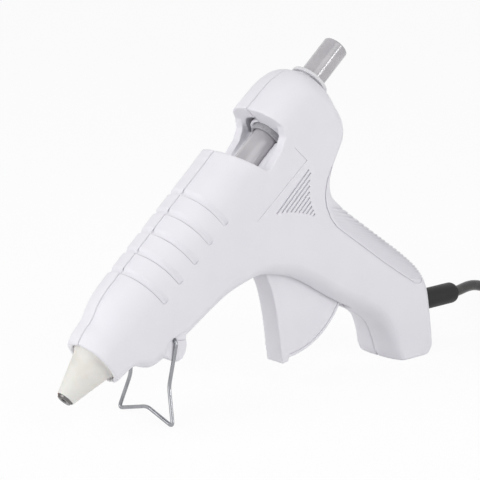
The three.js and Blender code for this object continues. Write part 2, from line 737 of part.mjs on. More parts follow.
const clampWidth = 5.8;
const tail = { start: reach * 0.9091, clampStart: reach * 0.9273, clampEnd: reach * 0.9273 + clampWidth };
addPiece(standing, 'cord_tail', turned([
  [tail.start, 0], [tail.start, cordRadius], [relief.inner - gap, cordRadius], [relief.inner - gap, 0],
], smallSides).translate(0, 0, cordExit.z), 'rubber');
const clamp = { half: 7.4, thickness: 2.2, screw: 1.2, screwOffset: 5.1, head: 2, headHeight: 1.3, tip: -8 };
const clampTop = cordRadius + gap;
let clampBar = solid(box(
  tail.clampStart, tail.clampEnd, clampTop, clampTop + clamp.thickness, cordExit.z - clamp.half, cordExit.z + clamp.half,
));
const clampMiddle = (tail.clampStart + tail.clampEnd) / 2;
for (const side of [-1, 1]) {
  const z = cordExit.z + side * clamp.screwOffset;
  clampBar = clampBar.subtract(solid(crossBar(
    clampMiddle, z, clamp.screw + gap, clampTop - overrun, clampTop + clamp.thickness + overrun, screw.sides,
  )));
  const headPlace = clampTop + clamp.thickness + gap;
  addPiece(standing, side < 0 ? 'clamp_screw_lower' : 'clamp_screw_upper', surface(
    solid(crossBar(clampMiddle, z, clamp.screw, clamp.tip, headPlace + gap, screw.sides))
      .add(solid(crossBar(clampMiddle, z, clamp.head, headPlace, headPlace + clamp.headHeight, screw.sides))),
  ), 'steel');
}
addPiece(standing, 'cord_clamp', surface(clampBar), 'nylon');

const lead = { radius: 0.8, sides: 6, steps: 30, startHalfWidth: 1.1, halfWidth: 9.4 };
const leadShares = [
  [0.888, 0.27, 0.9], [0.89, 0.36, 0.85], [0.864, 0.455, 0.8], [0.80, 0.54, 0.8], [0.72, 0.60, 0.85],
  [0.62, 0.645, 1],
];
const leadBarrelShares = [[0.55, -0.50, 1], [0.46, -0.35, 1], [0.412, -0.267, 1], [0.371, -0.276, 0.8]];
[['lead_wire_brown', 1, 'brown'], ['lead_wire_blue', -1, 'blue']].forEach(([name, side, finishName], i) => {
  const plateEnd = heater.end + 2 * gap;
  const last = fromBarrel(plateEnd, contactTops[i] - heater.plate / 2);
  const beforeLast = fromBarrel(plateEnd + 2 * lead.radius, contactTops[i] - heater.plate / 2);
  const points = [
    new THREE.Vector3(tail.start - 2 * gap, side * lead.startHalfWidth, cordExit.z),
    new THREE.Vector3(tail.start - lead.halfWidth / 3, side * lead.startHalfWidth * 2, cordExit.z + lead.startHalfWidth),
    ...leadShares.map(([x, z, share]) => new THREE.Vector3(x * reach, side * lead.halfWidth * share, z * shoulder)),
    ...leadBarrelShares.map(([along, up, share]) => {
      const place = fromBarrel(along * barrelLength, up * barrelHeight);
      return new THREE.Vector3(place.x, side * lead.halfWidth * share, place.z);
    }),
    new THREE.Vector3(beforeLast.x, side * 2 * lead.startHalfWidth, beforeLast.z),
    new THREE.Vector3(last.x, side * lead.startHalfWidth, last.z),
  ];
  const path = new THREE.CatmullRomCurve3(points, false, 'centripetal');
  addPiece(standing, name, tube(path, lead.radius, lead.sides, lead.steps), finishName);
});

// Half shells: the lofted body hollowed to a wall, with ribs, bosses, rails, the nose mouth, the feed
// opening, the trigger slot, the grip grooves and the side slots

const rib = { thickness: 2, places: [barrelLength * 0.1965, barrelLength * 0.3435], low: -9.2, hole: chamber.outer + gap };
const rail = { inner: 9.2, depth: 1.8, start: sleeveEnd + gap };
const window = {
  fillStart: barrelLength * 0.6735, fillEnd: barrelLength * 0.8647, fillLow: -7.5, channel: guideHole, ringRadius: 9,
  ringStart: barrelLength * 0.8094,
};
const windowShares = [
  [0.658, 0.714], [0.721, 0.029], [0.733, 0], [0.788, 0.036], [0.815, 0.095], [0.828, 0.214], [0.825, 0.333],
  [0.812, 0.714],
];
const lugShares = [
  [0.244, -0.444], [0.250, -0.536], [0.262, -0.595], [0.276, -0.614], [0.294, -0.602], [0.311, -0.560],
  [0.326, -0.488], [0.329, -0.444],
];
const recessShares = [
  [0.262, -0.250], [0.209, -0.369], [0.194, -0.714], [0.329, -0.714], [0.321, -0.429], [0.294, -0.298],
];
const recessWallShares = [
  [0.271, -0.167], [0.194, -0.310], [0.176, -0.762], [0.353, -0.762], [0.344, -0.393], [0.306, -0.214],
];
const slotShares = [
  [0.4914, 0.38], [0.4914, 0.535], [0.571, 0.51], [0.621, 0.47], [0.672, 0.415], [0.717, 0.365], [0.765, 0.31],
  [0.765, 0.20], [0.657, 0.20],
];
const groove = { first: barrelLength * 0.2994, pitch: barrelLength * 0.0603, width: 2.8, depth: 0.75, low: 2.5, count: 5 };
const louver = { depth: 1.1, width: 0.75, pitch: barrelHeight * 0.0452, top: barrelHeight * -0.3905 };
const louverSpanShares = [
  [0.674, 0.821], [0.686, 0.821], [0.698, 0.807], [0.708, 0.798], [0.717, 0.788], [0.726, 0.780], [0.734, 0.776],
  [0.741, 0.771], [0.749, 0.769], [0.754, 0.766],
];
const padPlateShares = [[0.622, -0.088], [0.820, -0.080], [0.829, -0.310], [0.621, -0.262]];
const padPlateDepth = 0.25;
const stripShares = [
  [0.663, 0.925], [0.648, 0.874], [0.642, 0.820], [0.642, 0.796], [0.646, 0.756], [0.658, 0.705],
  [0.676, 0.663], [0.707, 0.620], [0.753, 0.557], [0.816, 0.470], [0.865, 0.406], [0.897, 0.365],
  [0.917, 0.342], [0.937, 0.339], [0.953, 0.362],
];
const strip = { width: 0.9, depth: 0.5 };

function barrelPoints(shares) {
  return shares.map(([along, up]) => [along * barrelLength, up * barrelHeight]);
}

function standingPoints(shares) {
  return shares.map(([x, z]) => [x * reach, z * shoulder]);
}

// A band of even width along a line of [x, z] points
function bandAlong(points, width) {
  const offset = (side) => points.map(([x, z], i) => {
    const [x0, z0] = points[Math.max(0, i - 1)];
    const [x1, z1] = points[Math.min(points.length - 1, i + 1)];
    const length = Math.hypot(x1 - x0, z1 - z0);
    const shift = (side * width) / 2 / length;
    return [x - (z1 - z0) * shift, z + (x1 - x0) * shift];
  });
  return [...offset(1), ...offset(-1).reverse()];
}

function barrelRound(start, end, radius) {
  return solid(tilted(turned([[start, 0], [start, radius], [end, radius], [end, 0]], roundSides)));
}

function halfShell(side) {
  const far = halfWidth + overrun;
  const band = (inner, outer) => [Math.min(side * inner, side * outer), Math.max(side * inner, side * outer)];
  const barrelBox = (start, end, inner, outer, low, high) => {
    const [y0, y1] = band(inner, outer);
    return solid(tilted(box(start, end, y0, y1, low, high)));
  };
  const barrelPrism = (outline, inner, outer) => solid(tilted(prism(outline, ...band(inner, outer))));
  const bar = (place, radius, inner, outer, sides) => {
    const [y0, y1] = band(inner, outer);
    return solid(crossBar(place.x, place.z, radius, y0, y1, sides));
  };
  const within = (depth) => solid(halfBody(side, 0, depth, edgeRingCount));

  const body = solid(halfBody(side, seamGap / 2, 0, edgeRingCount)).trimByPlane([0, 0, 1], 0);
  const outer = body.add(barrelPrism(barrelPoints(lugShares), seamGap / 2, lugHalf));
  const cavity = solid(halfBody(side, 0, wall, cavityRingCount));

  const kept = [
    barrelBox(0, noseWall.end, 0, far, -barrelHeight, barrelHeight),
    ...rib.places.map((start) => barrelBox(start, start + rib.thickness, 0, far, rib.low, barrelHeight)
      .subtract(barrelRound(start - overrun, start + rib.thickness + overrun, rib.hole))),
    barrelBox(window.fillStart, window.fillEnd, 0, far, window.fillLow, barrelHeight),
    barrelBox(rail.start, window.fillStart, rail.inner, far, wing.top + gap, wing.top + gap + rail.depth),
    barrelBox(rail.start, window.fillStart, rail.inner, far, wing.bottom - gap - rail.depth, wing.bottom - gap),
    barrelPrism(barrelPoints(recessWallShares), lugHalf - wall, far),
    ...screwPlaces.map((place) => bar(place, screw.boss, 0, far, smallSides)),
    bar(triggerPivot, hubRadius, padHalf + gap, far, smallSides),
    bar(fromBarrel(peg.along, peg.up), peg.radius, 0, far, smallSides),
  ];
  if (side < 0) {
    const [y0, y1] = band(clampTop, far);
    kept.push(solid(box(
      tail.clampStart - gap, tail.clampEnd + gap, y0, y1, cordExit.z - clamp.half, cordExit.z + clamp.half,
    )));
  }
  const hollow = kept.reduce((space, piece) => space.subtract(piece), cavity);

  const cuts = [
    barrelRound(-overrun, noseWall.start, mouthRadius),
    barrelRound(noseWall.start - overrun, noseWall.end + overrun, tip.thread + gap),
    barrelRound(window.fillStart - overrun, stickEnd, window.channel),
    barrelPrism(barrelPoints(windowShares), -overrun, far),
    barrelPrism(barrelPoints(recessShares), lugHalf, far),
    bar(standTop, wireRadius + 1.5 * gap, standEar.inner - gap, far, smallSides),
    bar(triggerPivot, pinRadius + gap, 0, pinReach + gap, smallSides),
    solid(prism(standingPoints(slotShares), ...band(-overrun, padHalf + gap))),
    solid(turned([
      [relief.inner, 0], [relief.inner, relief.neck + gap], [reach + overrun, relief.neck + gap], [reach + overrun, 0],
    ], smallSides).translate(0, 0, cordExit.z)),
  ];
  for (const place of screwPlaces) {
    if (side < 0) {
      cuts.push(bar(place, screw.radius + gap, 0, gap - screw.tipPlace, screw.sides));
    } else {
      cuts.push(bar(place, screw.radius + gap, 0, far, screw.sides));
      cuts.push(bar(place, screw.head + gap, screw.headPlace - gap, far, smallSides));
    }
  }
  if (side < 0) {
    for (const up of [-1, 1]) {
      const place = { x: clampMiddle, z: cordExit.z + up * clamp.screwOffset };
      cuts.push(bar(place, clamp.screw + gap, 0, gap - clamp.tip, screw.sides));
    }
  }
  const grooveFloor = within(groove.depth);
  for (let i = 0; i < groove.count; i += 1) {
    const start = groove.first + i * groove.pitch;
    const end = start + groove.width;
    const outline = [
      [start, barrelHeight], [start, groove.low + groove.width / 2], [start + groove.width / 4, groove.low],
      [end - groove.width / 4, groove.low], [end, groove.low + groove.width / 2], [end, barrelHeight],
    ];
    cuts.push(barrelPrism(outline, 0, far).subtract(grooveFloor));
  }
  const stripLine = bandAlong(standingPoints(stripShares), strip.width);
  cuts.push(solid(prism(stripLine, ...band(halfWidth / 2, far))).subtract(within(strip.depth)));
  louverSpanShares.forEach(([start, end], i) => {
    const low = louver.top - i * louver.pitch;
    cuts.push(barrelBox(
      start * barrelLength, end * barrelLength, halfWidth - louver.depth, far, low - louver.width, low,
    ));
  });
  cuts.push(barrelPrism(barrelPoints(padPlateShares), halfWidth / 2, far).subtract(within(padPlateDepth)));

  const guideRing = barrelRound(window.ringStart, window.fillEnd, window.ringRadius)
    .subtract(barrelRound(window.ringStart - overrun, window.fillEnd + overrun, window.channel))
    .intersect(barrelBox(0, stickEnd, seamGap / 2, far, -barrelHeight, barrelHeight));
  const shell = cuts.reduce((rest, cut) => rest.subtract(cut), outer.subtract(hollow));
  return shell.add(guideRing);
}

addPiece(standing, 'left_shell', surface(halfShell(-1)), 'shell');
addPiece(standing, 'right_shell', surface(halfShell(1)), 'shell');

// Cord outside the handle: a short visible run, then a tied hank in line with the gun, and the plug on it

// The hank is one tube wound in oval turns that lie on each other: each climbs at the end of its far side.
// Its last stretch swings in over the turns to the plug.
const hank = {
  x: reach * 1.4141, radius: cordRadius * 6.1, straight: cordRadius * 26, turns: 5, rise: 5.3, lift: 1.2, arcSteps: 10,
  straightSteps: 2, climbSteps: 4, sides: 6, tail: cordRadius * 13.4, tailSteps: 8,
};
const tie = { width: 6, thickness: 0.8 };
const plug = {
  relief: 12, reliefRadius: 3.6, body: 34, width: 35.3, neckWidth: 15, depth: 13.7, neckDepth: 9, shoulder: 9,
  pinSpread: 9.3, pin: 2, pinOut: 19, pinIn: 8,
};
const hankFloor = cordRadius + hank.lift;
const hankTop = hankFloor + hank.rise * (hank.turns - 1) + cordRadius;
const plugPlace = {
  x: hank.x + hank.tail, y: 0, z: hankTop + 2 * gap + tie.thickness + plug.depth / 2,
};

// The share of a sideways step done at a share of the way, as two equal round bends
function swing(share, length, step) {
  const bend = (length ** 2 + step ** 2) / (4 * step);
  const way = Math.min(share, 1 - share) * length;
  const moved = (bend - Math.sqrt(bend ** 2 - way ** 2)) / step;
  return share < 0.5 ? moved : 1 - moved;
}

function hankPlaces() {
  const places = [];
  const put = (x, y, z) => places.push(new THREE.Vector3(x, y, z));
  const arc = (x, from, z) => {
    for (let i = 0; i < hank.arcSteps; i += 1) {
      const angle = from + (Math.PI * i) / hank.arcSteps;
      put(x + hank.radius * Math.cos(angle), hank.radius * Math.sin(angle), z);
    }
  };
  const half = hank.straight / 2;
  for (let turn = 0; turn < hank.turns; turn += 1) {
    const z = hankFloor + hank.rise * turn;
    for (let i = 0; i < hank.straightSteps; i += 1) {
      put(hank.x + (hank.straight * i) / hank.straightSteps, -hank.radius, z);
    }
    arc(hank.x + hank.straight, -Math.PI / 2, z);
    put(hank.x + hank.straight, hank.radius, z);
    for (let i = 0; i < hank.climbSteps; i += 1) {
      const share = i / hank.climbSteps;
      put(hank.x + half * (1 - share), hank.radius, z + hank.rise * swing(share, half, hank.rise));
    }
    arc(hank.x, Math.PI / 2, z + hank.rise);
  }
  const z = hankFloor + hank.rise * hank.turns;
  const step = Math.hypot(hank.radius, plugPlace.z - z);
  for (let i = 0; i <= hank.tailSteps; i += 1) {
    const share = i / hank.tailSteps;
    const moved = swing(share, hank.tail, step);
    put(hank.x + hank.tail * share, -hank.radius * (1 - moved), z + (plugPlace.z - z) * moved);
  }
  return places;
}

function tubeThrough(points, radius, sides) {
  const up = new THREE.Vector3(0, 0, 1);
  const places = [];
  points.forEach((point, i) => {
    const before = points[Math.max(0, i - 1)];
    const after = points[Math.min(points.length - 1, i + 1)];
    const tangent = after.clone().sub(before).normalize();
    const across = new THREE.Vector3().crossVectors(tangent, up).normalize();
    const normal = new THREE.Vector3().crossVectors(across, tangent);
    for (let k = 0; k < sides; k += 1) {
      const angle = ((k + 0.5) / sides) * Math.PI * 2;
      const place = point.clone().addScaledVector(across, radius * Math.cos(angle))
        .addScaledVector(normal, radius * Math.sin(angle));
      places.push(place.x, place.y, place.z);
    }
  });
  const index = [];
  const last = (points.length - 1) * sides;
  for (let i = 0; i < points.length - 1; i += 1) {
    for (let k = 0; k < sides; k += 1) {
      const a = i * sides + k;
      const b = i * sides + ((k + 1) % sides);
      index.push(a, b, b + sides, a, b + sides, a + sides);
    }
  }
  for (let k = 1; k < sides - 1; k += 1) {
    index.push(0, k + 1, k, last, last + k, last + k + 1);
  }
  const geometry = new THREE.BufferGeometry();
  geometry.setAttribute('position', new THREE.Float32BufferAttribute(places, 3));
  geometry.setIndex(index);
  return welded(geometry);
}

const coilPoints = hankPlaces();
addPiece(standing, 'cord_coil', tubeThrough(coilPoints, cordRadius, hank.sides), 'rubber');

// The least distance between two stretches of the wound cord that aren't neighbours on it
function leastSelfGap(points, radius, skip) {
  let least = Infinity;
  for (let i = 0; i < points.length; i += 1) {
    for (let j = i + skip; j < points.length; j += 1) {
      least = Math.min(least, points[i].distanceTo(points[j]) - 2 * radius);
    }
  }
  return least;
}
const farAlong = hank.arcSteps;
console.log('least gap between turns of the hank, mm', leastSelfGap(coilPoints, cordRadius, farAlong).toFixed(2));

// The run from the relief down to the floor and into the first turn; only its start is in the photograph
const cordSides = 8;
const runSteps = 44;
const routeShares = [
  [1.192, 0, 0.212], [1.263, -0.03, 0.16], [1.323, -0.105, 0.08], [1.369, -0.14, 0.043],
];
const coilStart = coilPoints[0];
const heading = coilPoints[1].clone().sub(coilStart).normalize();

class CordRoute extends THREE.Curve {
  constructor() {
    super();
    this.path = new THREE.CatmullRomCurve3([
      new THREE.Vector3(cordExit.x + gap, 0, cordExit.z),
      new THREE.Vector3(cordExit.x + cordRadius, 0, cordExit.z),
      ...routeShares.map(([x, y, z]) => new THREE.Vector3(x * reach, y * shoulder, z * shoulder)),
      coilStart.clone().addScaledVector(heading, -cordRadius), coilStart.clone().addScaledVector(heading, -gap),
    ], false, 'centripetal');
  }

  getPoint(t, target) {
    return this.path.getPoint(t, target);
  }
}
const cordRun = new CordRoute();
addPiece(standing, 'power_cord', tube(cordRun, cordRadius, cordSides, runSteps), 'rubber');

// Tie: a closed band round the middle of the hank
const tieX = hank.x + hank.straight / 2 + tie.width / 2;
const tieHalf = hank.radius + cordRadius + gap;
const tieTop = hankTop + gap;
const tieBottom = hankFloor - cordRadius - gap;
const tieHole = solid(box(tieX - tie.width, tieX + tie.width, -tieHalf, tieHalf, tieBottom, tieTop));
addPiece(standing, 'coil_tie', surface(solid(box(
  tieX - tie.width / 2, tieX + tie.width / 2, -tieHalf - tie.thickness, tieHalf + tie.thickness,
  tieBottom - tie.thickness, tieTop + tie.thickness,
)).subtract(tieHole)), 'rubber');

// Two-pin mains plug lying on the tied hank, with its own relief towards the cord
const plugHeight = plug.depth / 2;
const bodyStart = -plug.relief;
const bodyEnd = bodyStart - plug.body;
const plugOutline = (half, neckHalf) => [
  [bodyStart, neckHalf], [bodyStart - plug.shoulder * 2, half], [bodyEnd + gap, half], [bodyEnd, half - plug.pin],
  [bodyEnd, plug.pin - half], [bodyEnd + gap, -half], [bodyStart - plug.shoulder * 2, -half], [bodyStart, -neckHalf],
];
const plugPlan = solid(prism(plugOutline(plug.width / 2, plug.neckWidth / 2), -plugHeight, plugHeight)
  .rotateX(Math.PI / 2));
const plugSide = solid(prism(plugOutline(plugHeight, plug.neckDepth / 2), -plug.width, plug.width));
const pinPlaces = [-1, 1].map((side) => side * plug.pinSpread);
const plugRelief = solid(turned([
  [bodyStart - plug.shoulder, 0], [bodyStart - plug.shoulder, plug.neckDepth / 2], [bodyStart, plug.neckDepth / 2],
  [0, plug.reliefRadius], [0, 0],
], smallSides));
let plugBody = plugPlan.intersect(plugSide).add(plugRelief);
const atPlug = (geometry) => geometry.rotateZ(Math.PI)
  .translate(plugPlace.x + 1.5 * gap, plugPlace.y, plugPlace.z);
pinPlaces.forEach((y, i) => {
  const profile = [
    [bodyEnd - plug.pinOut, 0], [bodyEnd - plug.pinOut, plug.pin - gap], [bodyEnd - plug.pinOut + gap, plug.pin],
    [bodyEnd + plug.pinIn, plug.pin], [bodyEnd + plug.pinIn, 0],
  ];
  addPiece(standing, `plug_pin_${i + 1}`, atPlug(turned(profile, smallSides).translate(0, y, 0)), 'steel');
  plugBody = plugBody.subtract(solid(turned([
    [bodyEnd - overrun, 0], [bodyEnd - overrun, plug.pin + gap], [bodyEnd + plug.pinIn + gap, plug.pin + gap],
    [bodyEnd + plug.pinIn + gap, 0],
  ], smallSides).translate(0, y, 0)));
});
addPiece(standing, 'plug_body', atPlug(surface(plugBody)), 'rubber');

// The object's frame: the origin lies under the middle of everything but the cord outside the gun
const cordNames = ['power_cord', 'cord_coil', 'coil_tie', 'plug_body', 'plug_pin_1', 'plug_pin_2'];
standing.updateMatrixWorld(true);
const extent = new THREE.Box3();
standing.traverse((piece) => {
  if (piece.isMesh && !cordNames.includes(piece.name)) {
    extent.expandByObject(piece, true);
  }
});
const middle = extent.getCenter(new THREE.Vector3());
standing.position.set(-middle.x, -middle.y, -extent.min.z);

export default standing;
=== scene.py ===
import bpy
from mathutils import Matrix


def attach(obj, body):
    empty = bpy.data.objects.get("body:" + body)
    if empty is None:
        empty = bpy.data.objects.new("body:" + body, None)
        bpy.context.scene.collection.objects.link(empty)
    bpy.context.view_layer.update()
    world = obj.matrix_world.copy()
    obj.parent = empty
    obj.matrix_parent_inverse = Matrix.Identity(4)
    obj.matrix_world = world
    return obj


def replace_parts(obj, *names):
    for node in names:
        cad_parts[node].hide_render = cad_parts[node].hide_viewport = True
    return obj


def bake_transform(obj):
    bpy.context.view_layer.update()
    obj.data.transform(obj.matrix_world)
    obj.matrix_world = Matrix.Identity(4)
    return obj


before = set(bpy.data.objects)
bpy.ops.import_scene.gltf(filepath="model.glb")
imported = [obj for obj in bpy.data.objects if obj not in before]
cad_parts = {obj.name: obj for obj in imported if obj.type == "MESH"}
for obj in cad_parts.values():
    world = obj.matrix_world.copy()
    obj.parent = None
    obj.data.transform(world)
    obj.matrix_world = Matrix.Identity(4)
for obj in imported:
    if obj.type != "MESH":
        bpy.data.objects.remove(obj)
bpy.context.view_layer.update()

import math

import bmesh
import bpy
from mathutils import Matrix, Vector

# Camera: a long lens a little above the gun, on the nozzle's side, so that the whole side of the body
# shows and the barrel's top edge can be seen along its seam.
view_turn = math.radians(42.02)
view_drop = math.radians(13.26)
camera = bpy.data.objects.new('camera', bpy.data.cameras.new('camera'))
camera.location = (-0.58193, -0.6255, 0.2636)
sight = Vector((math.sin(view_turn) * math.cos(view_drop), math.cos(view_turn) * math.cos(view_drop),
                -math.sin(view_drop)))
camera.rotation_euler = sight.to_track_quat('-Z', 'Y').to_euler()
camera.data.lens = 158.6
camera.data.sensor_width = 36
camera.data.clip_start = 0.01
bpy.context.scene.collection.objects.link(camera)
bpy.context.scene.camera = camera

# Mains cord: a black two-core round flex, 4.8 mm thick, PVC over the cores. It leaves the relief at the
# back of the handle and sinks to the table, where it is folded into a tied hank in line with the gun.
millimetre = 0.001
middle_x = 110.026
barrel_length = 170
barrel_height = 42
half_width = 15.5
reach = barrel_length * 1.1647
shoulder = barrel_length * 0.5882
tip_height = 15.8
rest_tilt = math.radians(40.4)
standing = Matrix.Scale(millimetre, 4) @ Matrix.Translation((-middle_x, 0, 0))
barrel = standing @ Matrix.Translation((0, 0, tip_height)) @ Matrix.Rotation(-rest_tilt, 4, 'Y')
cord_radius = 2.4
clear = 0.3
exit_x = reach * 1.1212
exit_z = shoulder * 0.205
hank_x = reach * 1.4141
hank_radius = cord_radius * 6.1
hank_straight = cord_radius * 26
hank_turns = 5
run_steps, bend_steps, climb_steps, tail_steps = 4, 14, 8, 12
hank_rise = 5.3
hank_floor = cord_radius + 1.2
hank_tail = cord_radius * 13.4
tie_thickness = 0.8
plug_depth = 13.7
plug_z = hank_floor + hank_rise * (hank_turns - 1) + cord_radius + 2 * clear + tie_thickness + plug_depth / 2


def along_curve(points, steps):
    """Places on one smooth curve through the points, steps of them from each point to the next."""
    points = [Vector(point) for point in points]
    ends = [2 * points[0] - points[1], *points, 2 * points[-1] - points[-2]]
    places = []
    for a, b, c, d in zip(ends, ends[1:], ends[2:], ends[3:]):
        ab, bc, cd = [max((q - p).length, 1e-6) ** 0.5 for p, q in ((a, b), (b, c), (c, d))]
        leave = ((b - a) / ab - (c - a) / (ab + bc) + (c - b) / bc) * bc
        arrive = ((c - b) / bc - (d - b) / (bc + cd) + (d - c) / cd) * bc
        for i in range(steps):
            t = i / steps
            places.append(b + leave * t + (3 * (c - b) - 2 * leave - arrive) * t ** 2
                          + (leave + arrive - 2 * (c - b)) * t ** 3)
    return places + [points[-1]]


def swing(share, length, step):
    """The share of a sideways step done at a share of the way, as two equal round bends."""
    bend = (length ** 2 + step ** 2) / (4 * step)
    moved = (bend - math.sqrt(bend ** 2 - (min(share, 1 - share) * length) ** 2)) / step
    return moved if share < 0.5 else 1 - moved


def hank_places():
    """Oval turns that lie on each other; each climbs at the end of its far side, and the last swings in."""
    places = []
    for turn in range(hank_turns):
        z = hank_floor + hank_rise * turn
        places += [Vector((hank_x + hank_straight * i / run_steps, -hank_radius, z)) for i in range(run_steps)]
        for i in range(bend_steps):
            angle = math.pi * (i / bend_steps - 0.5)
            places.append(Vector((hank_x + hank_straight + hank_radius * math.cos(angle),
                                  hank_radius * math.sin(angle), z)))
        places += [Vector((hank_x + hank_straight * (1 - i / run_steps), hank_radius, z))
                   for i in range(run_steps // 2)]
        for i in range(climb_steps):
            share = i / climb_steps
            rise = hank_rise * swing(share, hank_straight / 2, hank_rise)
            places.append(Vector((hank_x + hank_straight / 2 * (1 - share), hank_radius, z + rise)))
        for i in range(bend_steps):
            angle = math.pi * (i / bend_steps + 0.5)
            places.append(Vector((hank_x + hank_radius * math.cos(angle), hank_radius * math.sin(angle),
                                  z + hank_rise)))
    z = hank_floor + hank_rise * hank_turns
    step = math.hypot(hank_radius, plug_z - z)
    for i in range(tail_steps + 1):
        moved = swing(i / tail_steps, hank_tail, step)
        places.append(Vector((hank_x + hank_tail * i / tail_steps, -hank_radius * (1 - moved),
                              z + (plug_z - z) * moved)))
    return places


hank = hank_places()
heading = (hank[1] - hank[0]).normalized()
route = [(1.192, 0, 0.212), (1.263, -0.03, 0.16), (1.323, -0.105, 0.08), (1.369, -0.14, 0.043)]
run = along_curve([(exit_x + clear, 0, exit_z), (exit_x + cord_radius, 0, exit_z)]
                  + [(x * reach, y * shoulder, z * shoulder) for x, y, z in route]
                  + [hank[0] - heading * cord_radius], 5)
cord_line = [standing @ place for place in run + hank]


def wire(name, places, radius, rounds, steps=6):
    """A round wire or cord along one smooth open line of places."""
    curve = bpy.data.curves.new(name, 'CURVE')
    curve.dimensions = '3D'
    curve.bevel_depth = radius * millimetre
    curve.bevel_resolution = rounds
    curve.resolution_u = steps
    curve.use_fill_caps = True
    spline = curve.splines.new('BEZIER')
    spline.bezier_points.add(len(places) - 1)
    for knot, place in zip(spline.bezier_points, places):
        knot.co = place
        knot.handle_left_type = knot.handle_right_type = 'AUTO'
    piece = bpy.data.objects.new(name, curve)
    bpy.context.scene.collection.objects.link(piece)
    return piece


class Signal:
    """What a shader node gives out, so that masks and bumps are written as sums."""

    def __init__(self, finish, plug):
        self.finish, self.plug = finish, plug

    def sum(self, operation, first, second):
        return self.finish.node('ShaderNodeMath', {'operation': operation}, {0: first, 1: second})

    def __add__(self, other):
        return self.sum('ADD', self, other)

    def __mul__(self, other):
        return self.sum('MULTIPLY', self, other)

    __radd__ = __add__
    __rmul__ = __mul__


def shade(red, green, blue):
    """A colour as it is seen, 0 to 255 a channel, in the renderer's linear values."""
    seen = [channel / 255 for channel in (red, green, blue)]
    return (*[((c + 0.055) / 1.055) ** 2.4 if c > 0.04045 else c / 12.92 for c in seen], 1)


class Finish:
    """A material: one Principled shader and the nodes that vary it over the surface."""

    def __init__(self, name, colour, **sockets):
        self.material = bpy.data.materials.new(name)
        self.material.use_nodes = True
        self.nodes = self.material.node_tree.nodes
        self.shader = self.nodes['Principled BSDF']
        self.colour = colour
        self.fill(self.shader, {'Base Color': colour})
        self.fill(self.shader, {word.replace('_', ' '): value for word, value in sockets.items()})
        self.place = self.node('ShaderNodeTexCoord', out='Object')

    def fill(self, node, values):
        for socket, value in values.items():
            if isinstance(value, Signal):
                self.material.node_tree.links.new(value.plug, node.inputs[socket])
            else:
                node.inputs[socket].default_value = value

    def node(self, kind, settings=None, values=None, out=0):
        made = self.nodes.new(kind)
        for word, value in (settings or {}).items():
            setattr(made, word, value)
        self.fill(made, values or {})
        return Signal(self, made.outputs[out])

    def noise(self, scale, detail=2, stretch=(1, 1, 1)):
        spread = self.node('ShaderNodeMapping', None, {'Vector': self.place, 'Scale': stretch})
        return self.node('ShaderNodeTexNoise', None, {'Vector': spread, 'Scale': scale, 'Detail': detail})

    def ramp(self, signal, low, high, start=0, end=1):
        return self.node('ShaderNodeMapRange', {'interpolation_type': 'SMOOTHSTEP'},
                         {0: signal, 1: low, 2: high, 3: start, 4: end})

    def tint(self, mask, other):
        return self.node('ShaderNodeMix', {'data_type': 'RGBA'}, {0: mask, 6: self.colour, 7: other}, 2)

    def bump(self, height, distance, strength=1):
        return self.node('ShaderNodeBump', None,
                         {'Height': height, 'Distance': distance, 'Strength': strength})

    def use(self, **values):
        self.fill(self.shader, {word.replace('_', ' '): value for word, value in values.items()})


flex = Finish('black_flex', shade(38, 37, 36), Roughness=0.3, Coat_Weight=0.25, Coat_Roughness=0.15)
scuff = flex.ramp(flex.noise(420, 4), 0.45, 0.75)
flex.use(Base_Color=flex.tint(scuff, shade(58, 57, 55)), Roughness=0.26 + scuff * 0.22,
         Normal=flex.bump(flex.noise(1500), 0.00004, 0.5))
cord = wire('mains_cord', cord_line, cord_radius, 6)
cord.data.materials.append(flex.material)
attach(cord, 'gun')
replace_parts(cord, 'power_cord', 'cord_coil')

# Plug and tie: a flat two-pin plug moulded on the end of the flex in the same black PVC, with two round
# nickel pins, and a rubber band round the middle of the hank that keeps its turns together.
def paint(finish, *pieces, slot=None):
    for piece in pieces:
        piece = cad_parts[piece] if isinstance(piece, str) else piece
        piece.data.materials.clear()
        piece.data.materials.append(finish.material)


moulding = Finish('moulded_plug', shade(34, 33, 32), Roughness=0.42)
grain = moulding.noise(2200, 3)
moulding.use(Roughness=0.36 + grain * 0.16, Normal=moulding.bump(grain, 0.00005, 0.6))
paint(moulding, 'plug_body', 'coil_tie')
nickel = Finish('nickel_pins', shade(205, 203, 198), Metallic=1, Roughness=0.22)
rub = nickel.noise(300, 3, (1, 6, 6))
nickel.use(Roughness=0.16 + rub * 0.2,
           Base_Color=nickel.tint(nickel.ramp(rub, 0.5, 0.8), shade(170, 166, 158)))
paint(nickel, 'plug_pin_1', 'plug_pin_2')
line_length = sum((b - a).length for a, b in zip(cord_line, cord_line[1:]))

